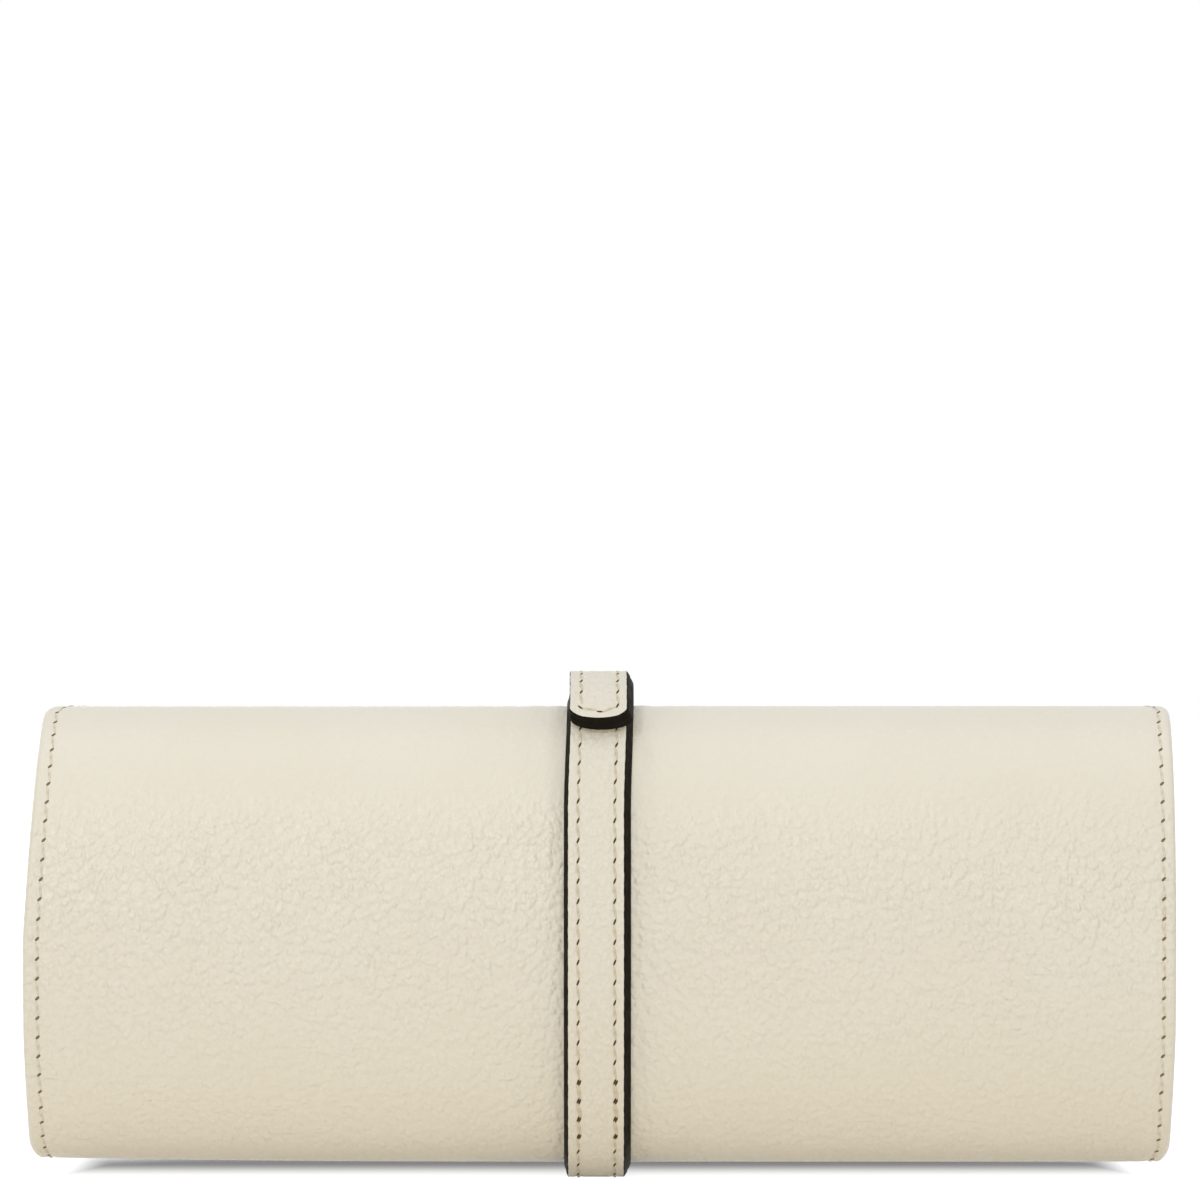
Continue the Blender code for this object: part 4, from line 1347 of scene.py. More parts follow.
@dataclass(frozen=True)
class WovenTape(Finish):
    """Herringbone polyester zip tape, with threads 1.2 mm apart."""

    wave: float = 3.75 * MM
    slant: float = math.radians(40)
    row: float = 1.2 * MM
    change: tuple[float, float] = (0.5 * MM, 0.7 * MM)
    gap_shade_share: float = 0.68
    depth: float = 0.12 * MM

    def dress(self, tree: Tree) -> Pattern:
        """Two crossed thread waves; the one on top changes every 1.2 mm, as in a herringbone. The low places
        between the threads are darker, as painted shade.

        Args:
            tree: the material's nodes.

        Returns:
            The pattern.
        """
        flat = node(tree, "UVMap", uv_map=FLAT_MAP)
        waves = []
        for turn in (self.slant, -self.slant):
            turned = node(tree, "Mapping", Vector=flat, Rotation=(0.0, 0.0, turn),
                          vector_type="POINT")
            waves.append(node(tree, "TexWave", output=1, bands_direction="X",
                              Vector=turned, Scale=1 / self.wave))
        across = node(tree, "SeparateXYZ", flat, output=1)
        stripe = node(tree, "Math", across, self.row, operation="PINGPONG")
        pick = node(tree, "MapRange", stripe, *self.change, **SMOOTH)
        height = node(tree, "Mix", pick, *PASSED, *waves, **COLOURS)
        # Painted shade: the gaps between the threads are darker.
        colours = self.darker(self.gap_shade_share), linear(self.colour)
        return Pattern(height, colours, height=height, depth=self.depth)


@dataclass(frozen=True)
class CastMetal(Finish):
    """Die-cast and plated metal: satin, with handling marks and faint tumbling dents."""

    mark: float = 3 * MM
    mark_stretch: float = 4.0
    duller: tuple[float, float] = (-0.08, 0.14)
    mark_share: float = 0.5
    mark_light: float = 0.8
    dent: float = 1.2 * MM
    depth: float = 0.03 * MM

    def dress(self, tree: Tree) -> Pattern:
        """Roughness from streaks, and shallow dents.

        Args:
            tree: the material's nodes.

        Returns:
            The pattern.
        """
        at = node(tree, "TexCoord", output="Object")
        long = node(tree, "VectorMath", at, (self.mark_stretch, 1.0, 1.0), **MULTIPLY)
        marks = node(tree, "TexNoise", Vector=long, Scale=1 / self.mark, Detail=4.0)
        low, high = (self.roughness + change for change in self.duller)
        worn = node(tree, "MapRange", marks, 0.35, 0.75, 0.0, self.mark_share, **SMOOTH)
        gloss = node(tree, "MapRange", marks, *NOISE, low, high, **SMOOTH)
        dents = node(tree, "TexNoise", Vector=at, Scale=1 / self.dent)
        colours = linear(self.colour), self.darker(self.mark_light)
        return Pattern(worn, colours, gloss, dents, self.depth)


TOP_CALM = WRAP.station(22.0)
TOP_END = WRAP.station(46.0)
CALF = PebbledCalf("pebbled_calf_milled", "#ebe6d6", 0.34, ior=1.45, calm_from=TOP_CALM,
                   calm_to=TOP_END, base_at=WRAP.station(BASE_TURN))
STRAP_CALF = PebbledCalf("pebbled_calf_strap", "#e9e4d5", 0.44, ior=1.45, depth=0.16 * MM,
                         pebble_width=1.4 * MM, pebble_height=1.7 * MM, crease_shade_share=0.12,
                         wrinkle_depth_share=0.1)
EDGE = Painted("acrylic_edge_paint", "#18120a", 0.65, specular=0.1)
THREAD = Twisted("polyester_thread_twisted", "#ddd1b5", 0.6, sheen=0.2)
END_THREAD = Twisted("polyester_thread_cream", "#e6ddc8", 0.6, sheen=0.2)
# Painted shade: the needle holes' shadow, lighter where the end stitching's holes are shallow.
HOLE_SHADE = PaintedHoleShade("needle_hole_shadow", "#5f4f31", 0.9, specular=0.1)
END_HOLE_SHADE = PaintedHoleShade("needle_hole_shallow_shadow", "#8c7e60", 0.9, specular=0.1)
SUEDE = Suede("microfibre_suede_brushed", "#cdc0a6", 0.95, sheen=0.35)
ROLL_SUEDE = Suede("ring_roll_suede_brushed", "#c6b79c", 0.95, sheen=0.45)
FOAM = Foam("polyether_foam_cut", "#d9d6cf", 0.95)
TAPE = WovenTape("polyester_tape_woven", "#b8aa90", 0.85)
BRASS = CastMetal("zinc_zip_brass_plated", "#b99a5f", 0.30, metallic=1.0)
NICKEL = CastMetal("steel_nickel_plated", "#b8b8b8", 0.26, metallic=1.0)


# The case


def piece(shell: Shell, name: str, *finishes: Finish) -> bpy.types.Object:
    """A shell as an object, dressed in its finishes.

    Args:
        shell: its mesh data.
        name: its name.
        finishes: what its slots are made of.

    Returns:
        The object.
    """
    made = shell.to_object(name, [f.material() for f in finishes])
    log.info("%s: %d points", name, len(shell.points))
    return made


@dataclass(frozen=True)
class FoldZone:
    """Where a piece bends between two bodies."""

    first: Body
    second: Body
    start: tuple[float, float, float]
    end: tuple[float, float, float]

    def bend(self, made: bpy.types.Object) -> bpy.types.Object:
        """Blends a piece over this zone."""
        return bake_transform(made, self.first.value, self.second.value, start=self.start, end=self.end)


FRONT_FOLD = FoldZone(Body.BACK, Body.FRONT, (0, 0, 6.5 * MM), (0, 0, 22 * MM))
ROOT_FOLD = FoldZone(Body.BACK, Body.TAB_ROOT, (0, 0, 89.5 * MM), (0, 0, 97.5 * MM))
CROWN_FOLD = FoldZone(Body.TAB_ROOT, Body.TAB_TIP, (0, 5 * MM, 0.111), (0, -5 * MM, 0.111))


@dataclass(frozen=True)
class Wrap:
    """The wrap: cream leather with turned edges, padding, suede lining and end stitching."""

    hide: float = 1.6 * MM
    stack: float = 4.05 * MM
    hem: float = 5.6 * MM
    edge_depth: float = 1.1 * MM
    left_corner: float = 14 * MM
    right_corner: float = 11.5 * MM
    inner_corner: float = 10 * MM
    left_margin: float = 3.3 * MM
    right_margin: float = 2.8 * MM
    flap_margin: float = 2.5 * MM
    groove: float = 0.22 * MM
    groove_at: float = 3.05 * MM
    groove_width: float = 1.0 * MM
    pinch: float = 0.45 * MM
    pinch_at: tuple[float, float] = (9.9 * MM, 52.0)
    pinch_size: tuple[float, float] = (1.6 * MM, 3.0 * MM)
    crease: float = 0.11 * MM
    crease_fade: float = 8 * MM
    crease_turns: tuple[float, float] = (-20.0, 80.0)
    crease_low: float = 0.35
    strap_half: float = 7.2 * MM
    strap_clear: float = 8.5 * MM
    hem_step: float = 0.5 * MM
    cloth: tuple[float, float] = (-3.0 * MM, -3.8 * MM)
    foam: tuple[float, float] = (-1.9 * MM, -2.7 * MM)
    foam_margin: float = 9 * MM
    back_foam_end: tuple[float, float] = (-118.0, -4.5 * MM)
    base_foam_half: float = 14 * MM
    thread_hole_shadows: tuple[float, float] = (1.25 * MM, 0.62 * MM)
    lining_edge: float = 0.25 * MM
    seam_turn: float = -100.0
    lining_margin: float = 5.35 * MM

    @property
    def cut(self) -> Cut:
        """The whole wrap, as if laid out flat."""
        half, low = FORM.length / 2, Corner(self.inner_corner, self.inner_corner)
        return Cut(0.0, WRAP.length, -half, half, low, Corner(self.left_corner, self.right_corner))

    def to_edge(self, x: Array, s: Array) -> Array:
        """Distance from a flat point to the wrap's nearest edge, about right at the corners."""
        left, right = self.cut.edges(np.clip(s, 0, WRAP.length))
        return np.minimum(np.minimum(x - left, right - x), np.minimum(s, WRAP.length - s))

    def relief(self, x: Array, s: Array) -> Array:
        """Height of the leather over its plain form, from its stitching and its creases.

        Formula: a groove exp(-gap^2) along the stitch line, with the gap in groove widths, a
        pinch beside the tab of the same form in both directions, and strap_creases().

        Args:
            x: places along the case.
            s: lengths along the profile.

        Returns:
            The height, negative where it sinks.
        """
        gap = (self.to_edge(x, s) - self.groove_at) / self.groove_width
        across = (x - self.pinch_at[0]) / self.pinch_size[0]
        along = (s - WRAP.station(self.pinch_at[1])) / self.pinch_size[1]
        pinch = self.pinch * np.exp(-across * across - along * along)
        return -self.groove * np.exp(-gap * gap) - pinch + self.strap_creases(x, s)

    def strap_creases(self, x: Array, s: Array) -> Array:
        """Soft upright folds that the strap's pull leaves beside it, deeper near the top.

        Formula: sines of 6 and 11 mm in x that sway with s, times exp(-gap / crease_fade) away
        from the strap, times a share that grows towards the top.

        Args:
            x: places along the case.
            s: lengths along the profile.

        Returns:
            The height, of both signs.
        """
        gap = np.maximum(np.abs(x) - self.strap_half, 0.0)
        low, high = (WRAP.station(turn) for turn in self.crease_turns)
        top = np.clip((s - low) / (high - low), 0, 1)
        sway = 1.3 * MM * np.sin(s / (11 * MM)) + 0.8 * MM * np.sin(s / (5.3 * MM) + 1.0)
        folds = np.sin((x + sway) / (0.95 * MM)) + 0.7 * np.sin((x - 0.6 * sway) / (1.7 * MM) + 2)
        share = self.crease_low + (1 - self.crease_low) * top
        return self.crease * folds * np.exp(-gap / self.crease_fade) * share

    def hem_depth(self, x: Array, s: Array) -> Array:
        """How much thicker the turned edge is than the hide: all of it inside the hem."""
        step = eased(self.to_edge(x, s), self.hem, self.hem - self.hem_step)
        return -(self.stack - self.hide) * step

    def leather(self, start: float, end: float, edge: Edge) -> Shell:
        """A length of the hide with its turned edges.

        Args:
            start: length along the profile where it starts.
            end: length where it ends.
            edge: how its edges are rounded.

        Returns:
            The leather's shell.
        """
        whole = self.cut
        first = whole.first if start <= 0 else Corner()
        last = whole.last if end >= WRAP.length else Corner()
        cut = Cut(start, end, whole.left, whole.right, first, last)
        slab = Slab(cut, 0.0, -self.hide, edge, pitch=0.95 * MM, columns=270,
                    deepen=self.hem_depth)
        return slab.shell(Ground(WRAP, self.relief))

    def lining(self, start: float, end: float, edge: Edge) -> Shell:
        """A length of the lining, inside the turned edges.

        Args:
            start: length along the profile where it starts.
            end: length where it ends.
            edge: how its edges are rounded.

        Returns:
            The lining's shell.
        """
        inner = self.cut.shrunk(self.lining_margin)
        low, high = max(start, inner.start), min(end, inner.end)
        first = inner.first if low > start else Corner()
        last = inner.last if high < end else Corner()
        cut = Cut(low, high, inner.left, inner.right, first, last)
        return Slab(cut, *self.cloth, edge, pitch=2 * MM, columns=80).shell(Ground(WRAP))

    def padding(self, start: float, end: float, name: str, node_name: str, body: Body) -> None:
        """A foam panel between hide and lining, where the CAD has it.

        Args:
            start: length along the profile where it starts.
            end: length where it ends.
            name: name of the piece.
            node_name: the CAD node that it stands for.
            body: its body.
        """
        half = FORM.length / 2 - self.foam_margin
        slab = Slab(Cut(start, end, -half, half), *self.foam, Edge(0.3 * MM), pitch=4 * MM,
                    columns=24)
        made = piece(slab.shell(Ground(WRAP)), name, FOAM)
        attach(made, body.value)
        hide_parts(node_name)

    def stitching(self) -> None:
        """Lockstitch all round the wrap, left out under the strap, and split at the seam."""
        line = StitchLine(hole_length=self.thread_hole_shadows[0], hole_width=self.thread_hole_shadows[1])
        path = self.stitch_path()
        ground = Ground(WRAP, self.relief)
        seam = WRAP.station(self.seam_turn)
        for name, part in self.parts(path, seam).items():
            threads = joined([line.threads(ground, run, 0.0) for run in part])
            hole_shadows = joined([line.hole_shadows(ground, run, 0.0) for run in part])
            for shell, kind, finish in ((threads, "thread", END_THREAD),
                                        (hole_shadows, "hole_shadows", END_HOLE_SHADE)):
                made = piece(shell, f"{name}_end_{kind}", finish)
                if name == "front":
                    FRONT_FOLD.bend(made)
                else:
                    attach(made, Body.BACK.value)

    def stitch_path(self) -> Array:
        """The stitch line as a closed flat path, a little further in at the left end.

        Returns:
            Flat points, one row each.
        """
        path = rounded_path(self.cut, self.flap_margin)
        share = path[:, 0] / (FORM.length / 2)
        move = np.where(share < 0, self.left_margin - self.flap_margin,
                        self.right_margin - self.flap_margin)
        path[:, 0] -= move * np.sign(share) * np.clip(np.abs(share), 0, 1) ** 4
        return path

    def parts(self, path: Array, seam: float) -> dict[str, list[Array]]:
        """Runs of the path on each side of the seam, without the stretch under the strap."""
        clear, front = np.abs(path[:, 0]) > self.strap_clear, path[:, 1] > seam
        return {"front": runs_of(path, clear & front), "back": runs_of(path, clear & ~front)}

    def build(self) -> None:
        """Builds the wrap's pieces and puts them on their bodies."""
        seam = WRAP.station(self.seam_turn)
        fold = WRAP.station(FORM.fold_turn)
        edge_a = Edge(self.edge_depth, last_seam=True)
        edge_b = Edge(self.edge_depth, first_seam=True)
        back = piece(self.leather(0.0, seam, edge_a), "wrap_back_leather", CALF)
        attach(back, Body.BACK.value)
        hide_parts("back_leather")
        front = piece(self.leather(seam, WRAP.length, edge_b), "wrap_front_leather", CALF)
        FRONT_FOLD.bend(front)
        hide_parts("front_leather")
        cloth_a = Edge(self.lining_edge, last_seam=True)
        cloth_b = Edge(self.lining_edge, first_seam=True)
        back = piece(self.lining(0.0, seam, cloth_a), "back_suede_lining", SUEDE)
        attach(back, Body.BACK.value)
        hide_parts("back_lining")
        front = piece(self.lining(seam, WRAP.length, cloth_b), "front_suede_lining", SUEDE)
        FRONT_FOLD.bend(front)
        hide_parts("front_lining")
        base = WRAP.station(BASE_TURN)
        low = WRAP.station(self.back_foam_end[0]) + self.back_foam_end[1]
        half = self.base_foam_half
        margin = self.foam_margin
        self.padding(margin, low, "back_padding", "back_foam", Body.BACK)
        self.padding(base - half, base + half, "base_padding", "base_foam", Body.BACK)
        self.padding(fold + margin, WRAP.length - margin, "front_padding", "front_foam", Body.FRONT)
        self.stitching()


@dataclass(frozen=True)
class Strap:
    """The two-ply strap round the middle and the closing tab that it ends in.

    Each ply is cream on its faces, and its edge is skived and painted black. The right edge is
    skived further than the left one, so it shows wider from the front.
    """

    half: float = 7.2 * MM
    front_wider: float = 0.4 * MM
    tab_narrower: float = 0.3 * MM
    ply: float = 1.35 * MM
    gap: float = 0.3 * MM
    glue_line: float = 0.02 * MM
    lie: float = 0.3 * MM
    front_short: float = 2 * MM
    front_corner: float = 3 * MM
    past_crown: float = 9 * MM
    riser_turn: float = -205.0
    right_skive: float = 0.80 * MM
    left_skive: float = 0.26 * MM
    right_step: float = 0.75 * MM
    left_step: float = 0.24 * MM
    tip_skive: float = 0.55 * MM
    tip_step: float = 0.35 * MM
    bulge: float = 0.14 * MM
    ragged: float = 0.055 * MM
    stitch_pitch: float = 4.25 * MM
    stitch_end: float = 0.3 * MM
    hole_slant: float = math.radians(-22)
    furrow: float = 0.12 * MM
    furrow_width: float = 0.7 * MM
    back_turn: float = -57.0
    back_shift: tuple[float, float] = (0.35 * MM, 2.1 * MM)
    stitch_left: float = -4.40 * MM
    stitch_right: float = 3.55 * MM
    tip_margin: float = 3.0 * MM
    tip_round: float = 6.6 * MM
    tip_depth: float = 3.4 * MM

    def plies(self, inner: float) -> tuple[tuple[float, float], tuple[float, float]]:
        """Upper and lower offsets of the face ply and of the backing ply, glued under it."""
        glued = inner + self.ply + self.gap
        return (glued + self.ply, glued), (glued - self.glue_line, inner)

    def ply_shell(self, cut: Cut, offsets: tuple[float, float], profile: Profile, is_face: bool,
                  seams: tuple[bool, bool]) -> Shell:
        """One ply of a length of strap: the face ply is narrower than the backing.

        The tab's left edge is cut square, so that no paint shows there from the front. Where the
        left edge is cut wider, its painted bevel takes all of that.

        Args:
            cut: the flat shape.
            offsets: heights of its upper and lower face.
            profile: the run that it follows.
            is_face: whether it is the face ply.
            seams: whether each cross edge meets the next length.

        Returns:
            The ply's shell, with its painted edge in the second slot.
        """
        upper, lower = offsets
        square, wider = cut.first.left > 0, -self.half - cut.left
        left_step = 0.0 if square else self.left_step + wider / 2
        left_skive = 0.0 if square else self.left_skive + wider / 2
        step_r, step_l = (self.right_step, left_step) if is_face else (0.0, 0.0)
        rims = Edge(self.bulge, left_skive, self.right_skive, self.tip_skive, 6,
                    self.ragged if is_face else 0.0, *seams)
        start = cut.start + (self.tip_step if is_face and cut.first.left else 0.0)
        trimmed = Cut(start, cut.end, cut.left + step_l, cut.right - step_r, cut.first, cut.last)
        crown = self.crown if is_face else level
        slab = Slab(trimmed, upper, lower, rims, pitch=0.8 * MM, columns=26, lift=crown)
        ground = Ground(profile, leans=False, drifts=True)
        return slab.shell(ground, rim_slot=1, upper_slot=0 if is_face else 1)

    def crown(self, x: Array, s: Array) -> Array:
        """The face ply's fullness: grooves along both stitch lines and a soft middle."""
        far = ((x - row) / self.furrow_width for row in (self.stitch_left, self.stitch_right))
        return -self.furrow * sum(np.exp(-gap * gap) for gap in far)

    def stretch(self, name: str, profile: Profile, cut: Cut, inner: float,
                seams: tuple[bool, bool], nodes: tuple[str, str], place: Placer,
                backstitch: bool = False) -> None:
        """One length of strap: two plies, two stitch rows, on a body or blended.

        Args:
            name: the length's name.
            profile: the run that it follows.
            cut: its flat shape.
            inner: offset of its under side.
            seams: whether each cross edge meets the next length.
            nodes: CAD nodes of the face ply and of the backing ply that it stands for.
            place: puts a piece on its body or bodies.
            backstitch: whether its stitching doubles back near the bottom.
        """
        face, backing = self.plies(inner)
        for word, offsets, stood_for in zip(("face", "backing"), (face, backing), nodes):
            shell = self.ply_shell(cut, offsets, profile, word == "face", seams)
            made = piece(shell, f"{name}_{word}", STRAP_CALF, EDGE)
            place(made)
            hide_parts(stood_for)
        self.stitches(name, profile, cut, face[0], place, backstitch)

    def stitches(self, name: str, profile: Profile, cut: Cut, offset: float,
                 place: Placer, backstitch: bool) -> None:
        """Both stitch rows of a length, or one row round the tip where it has one.

        Args:
            name: the length's name.
            profile: the run that it follows.
            cut: the flat shape.
            offset: height of the face over the run.
            place: puts a piece on its body or bodies.
            backstitch: whether the stitching doubles back near the bottom.
        """
        line = StitchLine(pitch=self.stitch_pitch, hole_slant=self.hole_slant)
        ground = Ground(profile, self.crown, leans=False, drifts=True)
        paths = self.rows(cut)
        if backstitch:
            low = WRAP.station(self.back_turn)
            for x in (self.stitch_left, self.stitch_right):
                run = np.array([(x, low), (x, low + 3 * self.stitch_pitch)])
                paths.append(run + self.back_shift)
        threads = joined([line.threads(ground, path, offset) for path in paths])
        hole_shadows = joined([line.hole_shadows(ground, path, offset) for path in paths])
        for shell, kind, finish in ((threads, "thread", THREAD), (hole_shadows, "hole_shadows", HOLE_SHADE)):
            made = piece(shell, f"{name}_{kind}", finish)
            place(made)

    def rows(self, cut: Cut) -> list[Array]:
        """Flat paths of the stitching: two straight rows, or a U round a tip at the start.

        Args:
            cut: the flat shape.

        Returns:
            The paths, flat points in rows.
        """
        if cut.first.left <= 0:
            last = self.tip_margin if cut.last.left else self.stitch_end
            ends = (cut.start + self.stitch_end, cut.end - last)
            return [np.array([(x, ends[0]), (x, ends[1])])
                    for x in (self.stitch_left, self.stitch_right)]
        middle = (self.stitch_left + self.stitch_right) / 2
        radius = (self.stitch_right - self.stitch_left) / 2
        angles = np.linspace(math.pi, 2 * math.pi, 60)
        depth = self.tip_depth * radius / self.half
        low = cut.start + self.tip_margin + depth
        arc = np.stack((middle + radius * np.cos(angles), low + depth * np.sin(angles)), axis=1)
        high = cut.end - self.stitch_end
        return [np.concatenate(([(self.stitch_left, high)], arc, [(self.stitch_right, high)]))]

    def build(self) -> None:
        """Builds the strap in four lengths, whose seams lie where both plies stay rigid."""
        seam = WRAP.station(Wrap.seam_turn)
        riser = WRAP.station(self.riser_turn)
        hinge = WRAP.station(FORM.tab_hinge_turn)
        half = self.half
        end = Corner(self.front_corner, self.front_corner)
        front = Cut(seam, WRAP.length - self.front_short, -half - self.front_wider, half, last=end)
        self.stretch("strap_front", WRAP, front, self.lie, (True, False),
                     ("front_strap_face", "front_strap_backing"), FRONT_FOLD.bend,
                     backstitch=True)
        self.stretch("strap_back", WRAP, Cut(riser, seam, -half, half), self.lie, (True, True),
                     ("back_strap_face", "back_strap_backing"), on(Body.BACK))
        run = self.riser(hinge, riser)
        self.stretch("strap_riser", run, Cut(0.0, run.length, -half, half), 0.0, (True, True),
                     ("tab_root_face", "tab_root_backing"), ROOT_FOLD.bend)
        tip = Corner(self.tip_round, self.tip_round, self.tip_depth)
        self.stretch("closing_tab", TAB, Cut(0.0, self.tab_split(), -half + self.tab_narrower,
                                             half, first=tip),
                     0.0, (False, True), ("tab_tip_face", "tab_tip_backing"), CROWN_FOLD.bend)

    def tab_split(self) -> float:
        """Length along the tab where its last piece ends, behind the crown."""
        crown = float(np.interp(0.0, TAB.points[:, 0], TAB.stations))
        return crown + self.past_crown

    def riser(self, hinge: float, low: float) -> Profile:
        """Run of the strap's under side from the tab's split, over the hinge and down the back.

        Args:
            hinge: length along the wrap of the tab's hinge.
            low: length where the run ends.

        Returns:
            The run.
        """
        down = TAB.stations > self.tab_split()
        upper = TAB.points[down]
        first = np.stack(TAB.at(np.array([self.tab_split()]), np.zeros(1)), axis=1)
        s = np.linspace(hinge, low, 160)
        lower = np.stack(WRAP.at(s, np.full(160, self.lie)), axis=1)
        return Profile.through(np.concatenate((first, upper, lower[1:])))


def on(body: Body) -> Placer:
    """A function that puts a piece on one body."""
    return lambda made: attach(made, body.value)


@dataclass(frozen=True)
class ZipPocket:
    """One zipped pocket: a suede panel and band sewn to the lining, and two woven tapes.

    The panel's three sewn sides lie down on the lining, and it rises from them to its free edge
    over the zip. On the back the pocket's run goes down the lining, on the front it goes up.
    """

    side: str
    body: Body
    height: float
    low_turn: float
    high_turn: float
    up: int
    length: float = 224 * MM
    panel: float = 26 * MM
    band: float = 9.3 * MM
    free_edge: float = 4.2 * MM
    top: float = 7.6 * MM
    cloth: float = 1.0 * MM
    rise: float = 2.5 * MM
    rim: float = 1.9 * MM
    slope: float = 6.6 * MM
    cloth_edge: float = 0.4 * MM
    tape_edge: float = 0.22 * MM
    slack: float = 0.12 * MM
    slack_waves: tuple[float, float] = (9 * MM, 5.1 * MM)
    seam_margin: float = 1.7 * MM
    seam_pitch: float = 3.2 * MM
    seam_thread: float = 0.42 * MM
    zip_seam: float = 2.3 * MM
    zip_seam_short: float = 3 * MM
    zip_plane: float = 20 * MM
    panel_corner: float = 8 * MM
    band_corner: float = 3.5 * MM
    chain_depth: float = 6.0 * MM
    tape_inner: float = 2.2 * MM
    tape_outer: float = 8.4 * MM
    tape_length: float = 206 * MM
    tape_half: float = 0.3 * MM

    @property
    def zip_station(self) -> float:
        """Length along the wrap of the zip's middle."""
        return WRAP.station_at_height(self.height, self.low_turn, self.high_turn)

    def cut(self, reach: float, corner: float, direction: int) -> Cut:
        """Flat shape of a panel that goes a reach from the zip, with its sewn corners rounded.

        Args:
            reach: how far it goes.
            corner: radius of its sewn corners.
            direction: 1 up the wrap's length from the zip, -1 down it.

        Returns:
            The cut.
        """
        near = self.zip_station + direction * self.free_edge
        far = near + direction * reach
        round_ = Corner(corner, corner)
        half = self.length / 2
        if far > near:
            return Cut(near, far, -half, half, last=round_)
        return Cut(far, near, -half, half, first=round_)

    def lift(self, cut: Cut, direction: int) -> Relief:
        """How far a panel lies down towards the lining, by the distance to its sewn sides.

        Formula: rise * (1 - smoothstep((distance - rim) / slope)), with a slack wave.

        Args:
            cut: the flat shape.
            direction: 1 up the wrap's length from the zip, -1 down it.

        Returns:
            The lift as a function of flat places.
        """
        far = cut.end if direction > 0 else cut.start

        def relief(x: Array, s: Array) -> Array:
            """Lift at a flat point.

            Args:
                x: places along the case.
                s: lengths along the profile.

            Returns:
                The lift.
            """
            left, right = cut.edges(np.clip(s, cut.start, cut.end))
            gap = np.minimum(np.minimum(x - left, right - x), np.abs(far - s))
            raised = eased(gap, self.rim, self.rim + self.slope)
            long, short = self.slack_waves
            slack = self.slack * (np.sin(x / long) + np.sin(x / short + 1.3) - 1.4)
            return self.rise * (1 - raised) + slack * raised

        return relief

    def cloth_piece(self, name: str, reach: float, corner: float,
                    direction: int) -> bpy.types.Object:
        """A panel or a band with its seams.

        Args:
            name: panel or band.
            reach: how far it goes from the zip.
            corner: radius of its sewn corners.
            direction: 1 up the wrap's length from the zip, -1 down it.

        Returns:
            The piece.
        """
        cut = self.cut(reach, corner, direction)
        lift = self.lift(cut, direction)
        slab = Slab(cut, self.cloth - self.top, -self.top, Edge(self.cloth_edge), pitch=0.8 * MM,
                    columns=200, lift=lift)
        made = piece(slab.shell(Ground(WRAP, leans=False)), f"{self.side}_{name}_suede", SUEDE)
        on(self.body)(made)
        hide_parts(f"{self.side}_pocket_{name}")
        self.seams(name, cut, lift, direction)
        return made

    def seams(self, name: str, cut: Cut, lift: Relief, direction: int) -> None:
        """One seam round the sewn sides and one beside the zip.

        Args:
            name: panel or band.
            cut: the flat shape.
            lift: how far the cloth lies down towards the lining.
            direction: 1 up the wrap's length from the zip, -1 down it.
        """
        path = rounded_path(cut, self.seam_margin)
        near = cut.start if direction > 0 else cut.end
        runs = runs_of(path, np.abs(path[:, 1] - near) > self.seam_margin + 0.05 * MM)
        half = self.length / 2 - self.zip_seam_short
        beside = near + direction * self.zip_seam
        runs.append(np.array([(-half, beside), (half, beside)]))
        ground = Ground(WRAP, lift, leans=False, facing=-1)
        line = StitchLine(pitch=self.seam_pitch, thread=self.seam_thread)
        threads = joined([line.threads(ground, run, self.top) for run in runs])
        made = piece(threads, f"{self.side}_{name}_thread", THREAD)
        on(self.body)(made)

    def tapes(self) -> None:
        """Both tapes, flat in the zip's own plane."""
        station = self.zip_station
        centre = np.stack(WRAP.at(np.array([station]), np.array([-self.chain_depth])), axis=1)[0]
        normal = np.stack(WRAP.at(np.array([station]), np.array([1 - self.chain_depth])), axis=1)[0]
        normal = normal - centre
        along = np.array((normal[1], -normal[0]))
        middle = self.zip_plane
        ends = np.stack((centre - middle * along, centre + middle * along))
        run = Profile.through(ends)
        half = self.tape_length / 2
        for word, sign in (("upper", self.up), ("lower", -self.up)):
            spans = sorted((middle + sign * self.tape_inner, middle + sign * self.tape_outer))
            slab = Slab(Cut(*spans, -half, half), self.tape_half, -self.tape_half,
                        Edge(self.tape_edge), pitch=1.2 * MM, columns=60)
            shell = slab.shell(Ground(run, leans=False))
            made = piece(shell, f"{self.side}_{word}_tape_woven", TAPE)
            on(self.body)(made)
            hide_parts(f"{self.side}_zip_tape_{word}")

    def build(self) -> None:
        """Builds the pocket's cloth."""
        panel = self.cloth_piece("panel", self.panel, self.panel_corner, -self.up)
        self.cloth_piece("band", self.band, self.band_corner, self.up)
        self.tapes()


